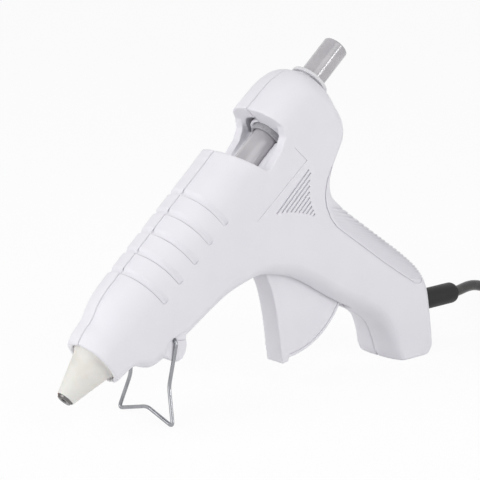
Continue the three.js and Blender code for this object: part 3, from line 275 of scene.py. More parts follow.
# Half shells: two satin white mouldings, 2.2 mm thick, that meet on the gun's middle plane. Inside they
# carry ribs, rails and screw bosses. Grooves, a plain pad, cooling slots and a ribbed grip are moulded in.
wall = 2.2
seam_gap = 0.1
overrun = 3
round_power = 0.87
rod_sides = 48
body_rings, body_steps = 20, 5
cavity_rings, cavity_steps = 8, 3
nose = [(0.108, -0.262, 0.108, -0.030, 0.760), (0.1135, 0.280, 0.112, 0.020, 0.787)]
barrel_top = [
    (0.141, 0.310, 0.138, 0.025, 0.813), (0.176, 0.321, 0.174, 0.015, 0.852), (0.215, 0.376, 0.212, 0.010, 0.916),
    (0.247, 0.395, 0.244, 0.005, 0.968), (0.353, 0.400, 0.353, 0.000, 1.000), (0.500, 0.405, 0.500, 0.000, 1.000),
    (0.618, 0.405, 0.618, 0.015, 1.000), (0.735, 0.410, 0.735, 0.055, 0.987), (0.853, 0.408, 0.847, 0.080, 0.981),
    (0.930, 0.382, 0.912, 0.080, 0.968), (0.974, 0.305, 0.942, 0.035, 0.955), (0.997, 0.143, 0.947, -0.071, 0.942),
    (1.006, -0.024, 0.953, -0.190, 0.935), (1.003, -0.214, 0.950, -0.286, 0.929),
    (0.999, -0.405, 0.944, -0.417, 0.916), (0.981, -0.548, 0.924, -0.512, 0.903)]
handle_back = [
    (0.710, 1.010, 0.664, 0.980, 0.890), (0.691, 0.930, 0.644, 0.910, 0.884), (0.682, 0.860, 0.636, 0.840, 0.877),
    (0.688, 0.805, 0.646, 0.755, 0.877), (0.715, 0.750, 0.679, 0.685, 0.871), (0.792, 0.639, 0.763, 0.565, 0.871),
    (0.859, 0.548, 0.831, 0.470, 0.877), (0.919, 0.462, 0.889, 0.395, 0.890), (0.957, 0.395, 0.922, 0.345, 0.903),
    (0.981, 0.320, 0.937, 0.290, 0.916), (0.992, 0.210, 0.947, 0.200, 0.929), (1.000, 0.080, 0.957, 0.090, 0.935)]
butt = [(1.000, 0.030, 0.963, 0.040, 0.935), (0.984, -0.010, 0.953, 0.010, 0.940),
        (0.880, -0.010, 0.895, 0.006, 0.915), (0.865, 0.032, 0.888, 0.042, 0.897)]
grip_front = [
    (0.852, 0.100, 0.882, 0.120, 0.880), (0.833, 0.170, 0.866, 0.210, 0.871), (0.798, 0.226, 0.828, 0.300, 0.865),
    (0.758, 0.266, 0.780, 0.345, 0.871), (0.715, 0.309, 0.735, 0.390, 0.877), (0.671, 0.359, 0.692, 0.440, 0.890),
    (0.621, 0.419, 0.639, 0.505, 0.903), (0.576, 0.463, 0.588, 0.555, 0.916), (0.530, 0.489, 0.535, 0.585, 0.935),
    (0.480, 0.502, 0.470, 0.600, 0.955)]
underside = [
    (0.515, -0.745, 0.497, -0.452, 0.968), (0.462, -0.660, 0.453, -0.369, 0.981),
    (0.399, -0.604, 0.394, -0.321, 0.981), (0.329, -0.562, 0.326, -0.286, 0.968),
    (0.271, -0.528, 0.271, -0.238, 0.955), (0.224, -0.505, 0.224, -0.202, 0.935),
    (0.192, -0.452, 0.197, -0.167, 0.903), (0.176, -0.345, 0.178, -0.131, 0.865),
    (0.160, -0.275, 0.161, -0.095, 0.826), (0.132, -0.262, 0.134, -0.060, 0.790)]


def on_barrel(along, up):
    x = along * math.cos(rest_tilt) - up * math.sin(rest_tilt)
    return x, tip_height + along * math.sin(rest_tilt) + up * math.cos(rest_tilt)


def barrel_station(row):
    edge = on_barrel(row[0] * barrel_length, row[1] * barrel_height)
    side = on_barrel(row[2] * barrel_length, row[3] * barrel_height)
    return (*edge, *side, row[4] * half_width)


def handle_station(row):
    return (row[0] * reach, row[1] * shoulder, row[2] * reach, row[3] * shoulder, row[4] * half_width)


outline_runs = [
    [barrel_station(row) for row in nose[1:] + barrel_top]
    + [handle_station(row) for row in handle_back + butt[:1]],
    [handle_station(row) for row in butt[1:3]],
    [handle_station(row) for row in butt[3:] + grip_front]
    + [barrel_station(row) for row in underside + nose[:1]]]


def outline_stations(steps):
    stations = []
    for row in outline_runs:
        count = steps if len(row) > 2 else 1
        edges = along_curve([(station[0], station[4], station[1]) for station in row], count)
        sides = along_curve([(station[2], station[4], station[3]) for station in row], count)
        stations += list(zip(edges, sides))
    return stations


def new_piece(name, bm, place=standing):
    """The shape as an object of its own, moved from millimetres to its place in metres."""
    bm.transform(place)
    mesh = bpy.data.meshes.new(name)
    bm.to_mesh(mesh)
    bm.free()
    piece = bpy.data.objects.new(name, mesh)
    bpy.context.scene.collection.objects.link(piece)
    return piece


def body_loft(name, thickness, count, steps):
    """The whole closed body, drawn in by a thickness, through rings from one flat side to the other."""
    bm = bmesh.new()
    stations = outline_stations(steps)
    loops = []
    for ring in range(-count, count + 1):
        angle = abs(ring) / count * math.pi / 2
        inwards = 1 - math.cos(angle) ** round_power if abs(ring) < count else 1
        outwards = math.sin(angle) ** round_power
        knots = []
        for edge, side in stations:
            span = side - edge
            flat = Vector((span.x, 0, span.z))
            start = thickness / flat.length
            place = edge + flat * (start + (1 - start) * inwards)
            place.y = math.copysign((edge.y - thickness) * outwards, ring)
            knots.append(bm.verts.new(place))
        loops.append([bm.edges.new((a, b)) for a, b in zip(knots, knots[1:] + knots[:1])])
    for lower, upper in zip(loops, loops[1:]):
        bmesh.ops.bridge_loops(bm, edges=lower + upper)
    for rim in (loops[0], loops[-1]):
        bmesh.ops.contextual_create(bm, geom=rim)
    bmesh.ops.triangulate(bm, faces=[face for face in bm.faces if len(face.verts) > 4])
    bmesh.ops.recalc_face_normals(bm, faces=bm.faces)
    return new_piece(name, bm)


def slab(outline, low, high, place=standing):
    """A flat outline of [x, z] pairs, thick along y from low to high."""
    bm = bmesh.new()
    knots = [bm.verts.new((x, min(low, high), z)) for x, z in outline]
    for a, b in zip(knots, knots[1:] + knots[:1]):
        bm.edges.new((a, b))
    face = bmesh.ops.contextual_create(bm, geom=bm.edges)['faces']
    raised = bmesh.ops.extrude_face_region(bm, geom=face)['geom']
    bmesh.ops.translate(bm, verts=[part for part in raised if isinstance(part, bmesh.types.BMVert)],
                        vec=(0, abs(high - low), 0))
    bmesh.ops.triangulate(bm, faces=[face for face in bm.faces if len(face.verts) > 4])
    bmesh.ops.recalc_face_normals(bm, faces=bm.faces)
    return new_piece('tool', bm, place)


def block(x0, x1, y0, y1, z0, z1, place=standing):
    return slab([(x0, z0), (x1, z0), (x1, z1), (x0, z1)], y0, y1, place)


def turned(name, profile, steps, place=barrel):
    """A profile of [along, radius] pairs turned about the x axis; ends off the axis are joined up."""
    bm = bmesh.new()
    knots = [bm.verts.new((along, 0, radius)) for along, radius in profile]
    for a, b in zip(knots, knots[1:]):
        bm.edges.new((a, b))
    if profile[0][1] > 0:
        bm.edges.new((knots[-1], knots[0]))
    bmesh.ops.spin(bm, geom=bm.verts[:] + bm.edges[:], axis=(1, 0, 0), cent=(0, 0, 0), angle=math.tau,
                   steps=steps, use_merge=True)
    bmesh.ops.remove_doubles(bm, verts=bm.verts, dist=1e-5)
    bmesh.ops.recalc_face_normals(bm, faces=bm.faces)
    return new_piece(name, bm, place)


def rod(start, end, radius, place=barrel):
    return turned('tool', [(start, 0), (start, radius), (end, radius), (end, 0)], rod_sides, place)


def cross_rod(x, z, radius, low, high):
    place = standing @ Matrix.Translation((x, 0, z)) @ Matrix.Rotation(math.pi / 2, 4, 'Z')
    return rod(min(low, high), max(low, high), radius, place)


def carve(piece, operation, *tools):
    for tool in tools:
        cut = piece.modifiers.new('carve', 'BOOLEAN')
        cut.operation = operation
        cut.solver = 'MANIFOLD'
        cut.object = tool
    return piece


def settle(piece):
    """Applies the piece's modifiers and clears away the tools that they used."""
    spent = {step.object for step in piece.modifiers
             if step.type == 'BOOLEAN' and step.object.name.startswith('tool')}
    bpy.context.view_layer.update()
    shaped = bpy.data.meshes.new_from_object(piece.evaluated_get(bpy.context.evaluated_depsgraph_get()))
    old = piece.data
    piece.modifiers.clear()
    piece.data = shaped
    bpy.data.meshes.remove(old)
    for tool in spent:
        bpy.data.objects.remove(tool)
    return piece


def twin(piece):
    other = bpy.data.objects.new(piece.name + '_twin', piece.data.copy())
    bpy.context.scene.collection.objects.link(other)
    return other


def soften(piece, voxel, repeats):
    """Rounds the edges as a mould does: a fine even mesh, and a little smoothing over it."""
    fine = piece.modifiers.new('even', 'REMESH')
    fine.mode = 'VOXEL'
    fine.voxel_size = voxel * millimetre
    eased = piece.modifiers.new('ease', 'SMOOTH')
    eased.factor = 0.5
    eased.iterations = repeats
    return settle(piece)


body_voxel, body_easing, flat_easing = 0.7, 2, 150
body = soften(body_loft('body', 0, body_rings, body_steps), body_voxel, body_easing)
flat_group = body.vertex_groups.new(name='flats')
flat_group.add([v.index for v in body.data.vertices if abs(v.normal.y) > 0.96], 1, 'REPLACE')
evened = body.modifiers.new('evened', 'SMOOTH')
evened.factor = 0.5
evened.iterations = flat_easing
evened.use_x = evened.use_z = False
evened.vertex_group = 'flats'
settle(body)


def drawn_in(depth):
    inner = twin(body)
    shrink = inner.modifiers.new('shrink', 'DISPLACE')
    shrink.strength = -depth * millimetre
    shrink.mid_level = 0
    return settle(inner)


def barrel_points(shares):
    return [(along * barrel_length, up * barrel_height) for along, up in shares]


def standing_points(shares):
    return [(x * reach, z * shoulder) for x, z in shares]


def band_along(points, width):
    """The outline of a band of even width along a line of [x, z] points."""
    sides = [[], []]
    for i, (x, z) in enumerate(points):
        before, after = points[max(0, i - 1)], points[min(len(points) - 1, i + 1)]
        dx, dz = after[0] - before[0], after[1] - before[1]
        length = math.hypot(dx, dz)
        for side, row in zip((1, -1), sides):
            row.append((x - dz * side * width / 2 / length, z + dx * side * width / 2 / length))
    return sides[0] + sides[1][::-1]


shell_voxel, shell_easing = 0.55, 2
stick_radius = 5.6
stick_end = barrel_length * 1.1235
pivot_x, pivot_z = reach * 0.5707, shoulder * 0.485
nose_wall = barrel_length * 0.1647
nose_wall_end = nose_wall + 2.6
mouth_radius = 10.1
thread_radius = 5.2
guide_hole = 7.3
window_fill = (barrel_length * 0.6735, barrel_length * 0.8647)
window_ring = barrel_length * 0.8265
window = [(0.658, 0.714), (0.721, 0.029), (0.733, 0), (0.788, 0.036), (0.815, 0.095), (0.8265, 0.190),
          (0.8225, 0.320), (0.809, 0.714)]
pocket = [(0.700, 0.300), (0.7225, 0.000), (0.735, -0.018), (0.820, -0.018), (0.8265, 0.010), (0.8265, 0.200),
          (0.815, 0.500)]
pocket_half = 10.8
channel = 5.9
collar_start = barrel_length * 0.8145
collar_well = 11
ring_radius = 8.6
lug = [(0.231, -0.400), (0.236, -0.503), (0.246, -0.563), (0.260, -0.583), (0.276, -0.569), (0.291, -0.525),
       (0.304, -0.447), (0.308, -0.400)]
lug_half = 13
lug_line = [(0.2775, -0.392), (0.301, -0.490)]
recess = [(0.262, -0.302), (0.2205, -0.374), (0.203, -0.500), (0.198, -0.714), (0.325, -0.714),
          (0.330, -0.430), (0.304, -0.385), (0.280, -0.340)]
recess_wall = [(0.271, -0.167), (0.194, -0.310), (0.176, -0.762), (0.353, -0.762), (0.344, -0.393),
               (0.306, -0.214)]
trigger_slot = [(0.4914, 0.38), (0.4914, 0.535), (0.571, 0.51), (0.621, 0.47), (0.672, 0.415), (0.717, 0.365),
                (0.765, 0.31), (0.765, 0.20), (0.657, 0.20)]
side_pad = [(0.622, -0.088), (0.820, -0.080), (0.829, -0.310), (0.621, -0.262)]
slots = [(0.674, 0.821), (0.686, 0.821), (0.698, 0.807), (0.708, 0.798), (0.717, 0.788), (0.726, 0.780),
         (0.734, 0.776), (0.741, 0.771), (0.749, 0.769), (0.754, 0.766)]
strip = [(0.663, 0.925), (0.648, 0.874), (0.642, 0.820), (0.642, 0.796), (0.646, 0.756), (0.658, 0.705),
         (0.676, 0.663), (0.707, 0.620), (0.753, 0.557), (0.816, 0.470), (0.865, 0.406), (0.897, 0.365),
         (0.917, 0.342), (0.937, 0.339), (0.953, 0.362)]
groove_width = 3.3
groove_flat = 1.8
groove_depth = 0.8
groove_end = 2.6
groove_count, groove_start, groove_pitch = 5, 0.3023, 0.0603
slit_width = 0.5
rib_count = 24
rib_top = 75.4
rib_pitch = 1.66
rib_slope = 0.28
rib_width = 0.55
louver_top, louver_pitch, louver_width = -0.3905, -0.0452, 0.75
flange_start = barrel_length
flange_end = barrel_length * 1.0095
flange_radius = 8.5
screws = [on_barrel(a * barrel_length, u * barrel_height)
          for a, u in ((0.412, -0.381), (0.753, -0.595), (0.929, -0.357))]
screws += [(x * reach, z * shoulder) for x, z in ((0.823, 0.42), (0.889, 0.10))]
peg = on_barrel(barrel_length * 0.8735, -14.6)
stand_pivot = on_barrel(barrel_length * 0.2735, barrel_height * -0.3714)
pad_half = 5.2
nozzle_hole, chamber_hole, relief_hole = 5.5, 8.9, 3.5
hub_radius, peg_radius, screw_boss = 4.6, 2.2, 3.4
screw_hole, head_hole, head_seat = 1.8, 3.1, 8
clamp_screw_hole, clamp_screw_up = 1.5, 5.1
stand_hole, stand_hole_end = 1, 7.3
pin_radius, pin_hole, pin_end = 1.5, 1.8, 10.6
far = half_width + overrun
clamp_middle = reach * 0.9273 + 2.9
relief_inner = reach * 0.998 - 6.2
groove_floor = drawn_in(groove_depth)
strip_floor = drawn_in(0.5)
pad_floor = drawn_in(0.35)
rib_floor = drawn_in(0.4)
skin_floor = drawn_in(1.2)
cavity = body_loft('cavity', wall, cavity_rings, cavity_steps)


def sloped_floor(deep, shallow, side):
    """The body's surface near one groove, drawn in by a depth that fades to nothing along the barrel."""
    near = block(deep - 5, shallow + 5, 0, side * far, -9, 40, barrel)
    floor = settle(carve(twin(body), 'INTERSECT', near))
    floor.name = 'tool'
    normals = [knot.normal.copy() for knot in floor.data.vertices]
    for knot, normal in zip(floor.data.vertices, normals):
        along = (barrel.inverted() @ knot.co).x
        knot.co -= normal * groove_depth * millimetre * (shallow - along) / (shallow - deep)
    return floor


def half_shell(name, side):
    """One moulded half: the body on its side of the seam, hollowed, then cut and ribbed."""
    shell = twin(body)
    shell.name = name
    carve(shell, 'INTERSECT', block(-50, 300, side * seam_gap / 2, side * 40, 0, 200))
    carve(shell, 'UNION', slab(barrel_points(lug), side * seam_gap / 2, side * lug_half, barrel))
    low_rib, high = -9.2, barrel_height
    kept = [block(0, nose_wall_end, 0, side * far, -high, high, barrel)]
    for place in (barrel_length * 0.1965, barrel_length * 0.3435):
        web = block(place, place + 2, 0, side * far, low_rib, high, barrel)
        kept.append(settle(carve(web, 'DIFFERENCE', rod(place - overrun, place + overrun + 2, chamber_hole))))
    rail_start = barrel_length * 0.47
    kept += [
        block(*window_fill, 0, side * far, -7.5, high, barrel),
        block(rail_start, window_fill[0], side * 9.2, side * far, -2.6, -0.8, barrel),
        block(rail_start, window_fill[0], side * 9.2, side * far, -7, -5.2, barrel),
        slab(barrel_points(recess_wall), side * (lug_half - wall), side * far, barrel),
        cross_rod(pivot_x, pivot_z, hub_radius, side * (pad_half + clear), side * far),
        cross_rod(*peg, peg_radius, 0, side * far)]
    kept += [cross_rod(x, z, screw_boss, 0, side * far) for x, z in screws]
    if side < 0:
        kept.append(block(clamp_middle - 3.2, clamp_middle + 3.2, -2.7, -far, exit_z - 7.4, exit_z + 7.4))
    hollow = settle(carve(twin(cavity), 'DIFFERENCE', *kept))
    hollow.name = 'tool'
    carve(shell, 'DIFFERENCE', hollow)
    cuts = [
        rod(-overrun, nose_wall, mouth_radius),
        rod(nose_wall - overrun, nose_wall_end + overrun, nozzle_hole),
        rod(window_fill[0] - overrun, collar_start + 1, channel),
        rod(collar_start - clear, stick_end, guide_hole),
        slab(barrel_points(window), -side * overrun, side * far, barrel),
        slab(barrel_points(pocket), -side * overrun, side * pocket_half, barrel),
        rod(window_ring, window_ring + (7 if side > 0 else 0.7), collar_well),
        rod(flange_start - clear, stick_end, flange_radius + clear),
        slab(barrel_points(recess), side * lug_half, side * far, barrel),
        cross_rod(*stand_pivot, stand_hole, side * stand_hole_end, side * far),
        settle(carve(cross_rod(pivot_x, pivot_z, pin_hole, 0, side * (pin_end + clear)), 'INTERSECT',
                     skin_floor)),
        slab(standing_points(trigger_slot), -side * overrun, side * (pad_half + clear)),
        rod(relief_inner, reach + overrun, relief_hole, standing @ Matrix.Translation((0, 0, exit_z)))]
    for x, z in screws:
        cuts.append(cross_rod(x, z, screw_hole, 0, side * (far if side > 0 else 9.3)))
        if side > 0:
            cuts.append(cross_rod(x, z, head_hole, head_seat, far))
    if side < 0:
        cuts += [cross_rod(clamp_middle, exit_z + up * clamp_screw_up, clamp_screw_hole, 0, -8.3)
                 for up in (-1, 1)]
    carve(shell, 'DIFFERENCE', *cuts)
    ring = carve(rod(window_ring, window_fill[1], ring_radius), 'DIFFERENCE',
                 rod(window_ring - 1, window_fill[1] + 1, guide_hole))
    carve(ring, 'INTERSECT', block(0, stick_end, side * seam_gap / 2, side * far, -high, high, barrel))
    settle(ring)
    carve(shell, 'UNION', ring)
    settle(shell)
    soften(shell, shell_voxel, shell_easing)
    fine = []
    for i in range(groove_count):
        start = barrel_length * (groove_start + groove_pitch * i)
        turn = groove_width / 2
        outline = [(start + groove_width, high), (start, high)]
        outline += [(start + turn - turn * math.cos(angle), groove_end - turn * math.sin(angle))
                    for angle in (k / 8 * math.pi for k in range(9))]
        ramp = sloped_floor(start + groove_flat, start + groove_width, side)
        fine.append(settle(carve(slab(outline, 0, side * far, barrel), 'DIFFERENCE', groove_floor, ramp)))
        middle = start + slit_width / 2
        slit = band_along([(middle, groove_end - turn / 2), (middle, high)], slit_width)
        fine.append(settle(carve(slab(slit, 0, side * far, barrel), 'DIFFERENCE', skin_floor)))
    fine.append(slab(band_along(barrel_points(lug_line), 0.4), side * (lug_half - 0.5), side * far, barrel))
    line = slab(band_along(standing_points(strip), 0.9), side * 5, side * far)
    fine.append(settle(carve(line, 'DIFFERENCE', strip_floor)))
    plate = slab(barrel_points(side_pad), side * 5, side * far, barrel)
    fine.append(settle(carve(plate, 'DIFFERENCE', pad_floor)))
    for i, (start, end) in enumerate(slots):
        top = barrel_height * (louver_top + louver_pitch * i)
        ends = [(start * barrel_length + 0.37, top - 0.37), (end * barrel_length - 0.37, top - 0.37)]
        cut = slab(band_along(ends, louver_width), side * 5, side * far, barrel)
        fine.append(settle(carve(cut, 'DIFFERENCE', groove_floor)))
    edge = standing_points(strip)
    for i in range(rib_count):
        z = rib_top - rib_pitch * i
        x = next(a[0] + (b[0] - a[0]) * (a[1] - z) / (a[1] - b[1])
                 for a, b in zip(edge[3:], edge[4:]) if b[1] <= z)
        cut = slab(band_along([(x + 2, z), (x + 40, z - 38 * rib_slope)], rib_width), 0, side * far)
        fine.append(settle(carve(cut, 'DIFFERENCE', rib_floor)))
    carve(shell, 'DIFFERENCE', *fine)
    settle(shell)
    shell.data.shade_smooth()
    shell.data.set_sharp_from_angle(angle=math.radians(38))
    return shell


satin = Finish('satin_white', shade(228, 227, 232), Roughness=0.5, Specular_IOR_Level=0.4)
skin = satin.noise(2600, 3)
cloud = satin.noise(45, 3)
satin.use(Base_Color=satin.tint(satin.ramp(cloud, 0.35, 0.75, 0, 0.5), shade(223, 222, 228)),
          Roughness=0.44 + skin * 0.12 + cloud * 0.06, Normal=satin.bump(skin, 0.00002, 0.5))
for name, side, node in (('shell_near_side', -1, 'left_shell'), ('shell_far_side', 1, 'right_shell')):
    shell = half_shell(name, side)
    paint(satin, shell, slot='shell')
    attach(shell, 'gun')
    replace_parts(shell, node)

# Strain relief: a black rubber sleeve with a rounded end, moulded on the cord. Its neck sits in the hole of
# the handle's back wall and its flange holds it inside.
def rounded(profile, ease, steps=4):
    """The profile with its corners eased by a small round."""
    points = [Vector(point) for point in profile]
    shaped = []
    for i, point in enumerate(points):
        if profile[0][1] == 0 and i in (0, len(points) - 1):
            shaped.append(tuple(point))
            continue
        before, after = points[i - 1] - point, points[(i + 1) % len(points)] - point
        before = before.normalized() * min(ease, before.length * 0.45)
        after = after.normalized() * min(ease, after.length * 0.45)
        shaped += [tuple(point + before * (1 - k / steps) ** 2 + after * (k / steps) ** 2)
                   for k in range(steps + 1)]
    return shaped


def smoothed(piece, degrees=35):
    piece.data.shade_smooth()
    piece.data.set_sharp_from_angle(angle=math.radians(degrees))
    return piece


at_exit = standing @ Matrix.Translation((0, 0, exit_z))
relief_out = reach * 0.998
wall_in = relief_out - 4.6
relief_radius, relief_neck, end_round = 4.7, 3.2, 2.6
relief_shape = rounded([(wall_in - 1.6, 0), (wall_in - 1.6, 4.8), (wall_in, 4.8), (wall_in, relief_neck),
                        (relief_out, relief_neck), (relief_out, relief_radius), (exit_x, relief_radius),
                        (exit_x, 0)], 0.5)
relief_shape = [(x, r) for x, r in relief_shape if x < exit_x - end_round]
relief_shape += [(exit_x - end_round + end_round * math.sin(angle), relief_radius - 2.1 * (1 - math.cos(angle)))
                 for angle in (i / 8 * math.pi / 2 for i in range(9))] + [(exit_x, 0)]
relief = smoothed(turned('strain_relief_sleeve', relief_shape, 64, at_exit))
sleeve_rubber = Finish('relief_rubber', shade(20, 20, 20), Roughness=0.5, Specular_IOR_Level=0.3)
skin = sleeve_rubber.noise(1800, 3)
wipe = sleeve_rubber.ramp(sleeve_rubber.noise(160, 3, (0.4, 1, 1)), 0.4, 0.7)
sleeve_rubber.use(Base_Color=sleeve_rubber.tint(wipe, shade(30, 30, 30)),
                  Roughness=0.42 + wipe * 0.14 + skin * 0.06, Normal=sleeve_rubber.bump(skin, 0.00003, 0.5))
paint(sleeve_rubber, relief, slot='cord_rubber')
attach(relief, 'gun')
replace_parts(relief, 'strain_relief')

# Cord inside the handle: the flex's stripped end, a nylon bar that two screws press on it, and the brown and
# blue leads that run past the trigger to the heater's two contact plates.
tail_start = reach * 0.9091
tail_end = wall_in - 1.9
tail_shape = [(tail_start, 0), (tail_start, cord_radius), (tail_end, cord_radius), (tail_end, 0)]
inner_end = smoothed(turned('cord_end', rounded(tail_shape, 0.3), 40, at_exit))
paint(flex, inner_end, slot='cord_rubber')
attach(inner_end, 'gun')
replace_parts(inner_end, 'cord_tail')
nylon = Finish('grey_nylon', shade(168, 168, 171), Roughness=0.4)
speck = nylon.noise(900, 4)
nylon.use(Base_Color=nylon.tint(nylon.ramp(speck, 0.45, 0.7), shade(150, 150, 154)),
          Roughness=0.32 + speck * 0.2, Normal=nylon.bump(nylon.noise(2400), 0.00003, 0.5))
paint(nylon, 'cord_clamp', 'carriage')
zinc = Finish('zinc_screw', shade(186, 188, 190), Metallic=1, Roughness=0.3)
plated = zinc.noise(700, 4)
zinc.use(Base_Color=zinc.tint(zinc.ramp(plated, 0.5, 0.75), shade(164, 163, 158)),
         Roughness=0.22 + plated * 0.2, Normal=zinc.bump(zinc.noise(1800), 0.00002, 0.4))


def turned_screw(name, x, z, shaft, tip, head, radius, height):
    """A pan-head screw along y with a cross recess, its thread as fine rings."""
    place = standing @ Matrix.Translation((x, 0, z)) @ Matrix.Rotation(math.pi / 2, 4, 'Z')
    profile = [(tip, 0)]
    pitch = 0.9
    for i in range(int((head - tip) / pitch)):
        profile += [(tip + i * pitch + 0.1, shaft * 0.82), (tip + i * pitch + 0.5, shaft)]
    profile += [(head, shaft * 0.82), (head, radius * 0.96), (head + height * 0.35, radius),
                (head + height * 0.8, radius * 0.8), (head + height, radius * 0.4), (head + height, 0)]
    made = turned(name, profile, 32, place)
    wide, thin, top = radius * 0.55, radius * 0.13, head + height + 1
    for a, b in ((wide, thin), (thin, wide)):
        carve(made, 'DIFFERENCE', block(x - a, x + a, top, head + height * 0.45, z - b, z + b))
    smoothed(settle(made), 30)
    paint(zinc, made, slot='steel')
    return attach(made, 'gun')


for i, (x, z) in enumerate(screws, 1):
    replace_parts(turned_screw(f'body_screw_{i}', x, z, 1.5, -9, 8.3, 2.8, 1.9), f'shell_screw_{i}')
for word, up in (('lower', -1), ('upper', 1)):
    made = turned_screw(f'bar_screw_{word}', clamp_middle, exit_z + up * clamp_screw_up, 1.2, -8, 5.2, 2, 1.3)
    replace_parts(made, f'clamp_screw_{word}')

heater_end = barrel_length * 0.3324
contacts = (-10.2, -13.7)
lead_handle = [(0.888, 0.27, 0.9), (0.89, 0.36, 0.85), (0.864, 0.455, 0.8), (0.80, 0.54, 0.8), (0.72, 0.60, 0.85),
               (0.62, 0.645, 1)]
lead_barrel = [(0.55, -0.50, 1), (0.46, -0.35, 1), (0.412, -0.267, 1), (0.371, -0.276, 0.8)]
lead_radius, near, spread = 0.8, 1.1, 9.4
for name, side, colour, contact, worn in (('brown_lead', 1, (107, 64, 40), contacts[0], (88, 52, 34)),
                                          ('blue_lead', -1, (44, 90, 154), contacts[1], (36, 72, 130))):
    points = [(tail_start - 0.6, side * near, exit_z),
              (tail_start - spread / 3, side * near * 2, exit_z + near)]
    points += [(x * reach, side * spread * wide, z * shoulder) for x, z, wide in lead_handle]
    for along, up, wide in lead_barrel:
        x, z = on_barrel(along * barrel_length, up * barrel_height)
        points.append((x, side * spread * wide, z))
    for along, wide in ((2.2, 2 * near), (0.6, near)):
        x, z = on_barrel(heater_end + along, contact - 0.25)
        points.append((x, side * wide, z))
    made = wire(name, [standing @ place for place in along_curve(points, 3)], lead_radius, 3, 3)
    insulation = Finish(name.replace('lead', 'insulation'), shade(*colour), Roughness=0.42)
    smear = insulation.noise(300, 3)
    insulation.use(Base_Color=insulation.tint(insulation.ramp(smear, 0.4, 0.7), shade(*worn)),
                   Roughness=0.34 + smear * 0.2)
    made.data.materials.append(insulation.material)
    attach(made, 'gun')
    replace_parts(made, 'lead_wire_' + name.split('_')[0])

# Nozzle: a turned steel tip, screwed into the heating chamber and darkened by heat, and a cream silicone cone
# that is pushed over it and fills the mouth of the body.
taper_end = barrel_length * 0.1176
bore_start = barrel_length * 0.1294
tip_front, tip_back, bore, outlet = 3, 6.4, 3.2, 1.1
tip_profile = [(0, outlet), (0, tip_front), (taper_end, tip_back), (taper_end, thread_radius),
               (nose_wall_end + wall, thread_radius), (nose_wall_end + wall, bore), (bore_start, bore),
               (bore_start - bore, outlet)]
tip = smoothed(turned('nozzle_steel_tip', rounded(tip_profile, 0.35), 64), 40)
burnt = Finish('heated_steel', shade(118, 116, 116), Metallic=1, Roughness=0.32)
turning = burnt.noise(500, 3, (8, 0.6, 0.6))
soot = burnt.ramp(burnt.noise(260, 4), 0.42, 0.68)
burnt.use(Base_Color=burnt.tint(soot, shade(82, 78, 76)), Roughness=0.24 + soot * 0.22,
          Normal=burnt.bump(turning, 0.00002, 0.4))
paint(burnt, tip, slot='tip_metal')
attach(tip, 'gun')
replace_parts(tip, 'nozzle_tip')


def tip_radius(along):
    return tip_front + 3.4 * along / taper_end


cone_end = nose_wall - clear
flange = mouth_radius - clear
cone_profile = [(1, tip_radius(1) + clear), (1, 3.7), (barrel_length * 0.1088, 8.6),
                (barrel_length * 0.1105, 8.7), (barrel_length * 0.118, flange), (cone_end, flange),
                (cone_end, tip_back + clear), (taper_end, tip_back + clear)]
cone = smoothed(turned('nozzle_silicone_cone', rounded(cone_profile, 0.6, 5), 72), 40)
silicone = Finish('cream_silicone', shade(222, 220, 215), Roughness=0.55, Subsurface_Weight=0.08,
                  Subsurface_Scale=0.002)
fine = silicone.noise(1500, 3)
stain = silicone.ramp(silicone.noise(120, 4), 0.5, 0.8)
silicone.use(Base_Color=silicone.tint(stain, shade(215, 212, 205)), Roughness=0.48 + fine * 0.16,
             Normal=silicone.bump(fine, 0.00003, 0.5))
paint(silicone, cone, slot='silicone')
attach(cone, 'gun')
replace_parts(cone, 'nozzle_sleeve')

# Heating chamber: a bored aluminium casting with a flat pocket below it. A ceramic heater disc lies in the
# pocket between two brass contact plates, held by a spring steel clip.
cast = Finish('cast_aluminium', shade(176, 178, 181), Metallic=1, Roughness=0.48)
sand = cast.noise(1400, 5)
cast.use(Base_Color=cast.tint(cast.ramp(cast.noise(240, 4), 0.4, 0.7), shade(150, 151, 153)),
         Roughness=0.4 + sand * 0.2, Normal=cast.bump(sand, 0.00008, 0.7))
paint(cast, 'heating_chamber')
brass = Finish('brass_plate', shade(186, 150, 92), Metallic=1, Roughness=0.34)
rolled = brass.noise(300, 3, (1, 9, 1))
brass.use(Base_Color=brass.tint(brass.ramp(rolled, 0.4, 0.7), shade(160, 122, 70)),
          Roughness=0.28 + rolled * 0.18)
paint(brass, 'contact_plate_upper', 'contact_plate_lower')
ceramic = Finish('heater_ceramic', shade(74, 74, 77), Roughness=0.7)
fired = ceramic.noise(1800, 5)
ceramic.use(Base_Color=ceramic.tint(ceramic.ramp(fired, 0.45, 0.65), shade(58, 58, 61)),
            Roughness=0.6 + fired * 0.2, Normal=ceramic.bump(fired, 0.00005, 0.6))
paint(ceramic, 'heater_disc')
spring_steel = Finish('spring_steel', shade(176, 178, 182), Metallic=1, Roughness=0.24)
drawn = spring_steel.noise(420, 3, (1, 7, 7))
spring_steel.use(Base_Color=spring_steel.tint(spring_steel.ramp(drawn, 0.45, 0.75), shade(150, 152, 156)),
                 Roughness=0.18 + drawn * 0.16)
paint(spring_steel, 'heater_clip', 'sleeve_clamp', 'jaw_pin', 'grip_jaw', 'drive_pin')

# Entry sleeve: the cream silicone tube that seals the cold stick to the hot chamber. A steel band holds it.
paint(silicone, 'entry_sleeve')

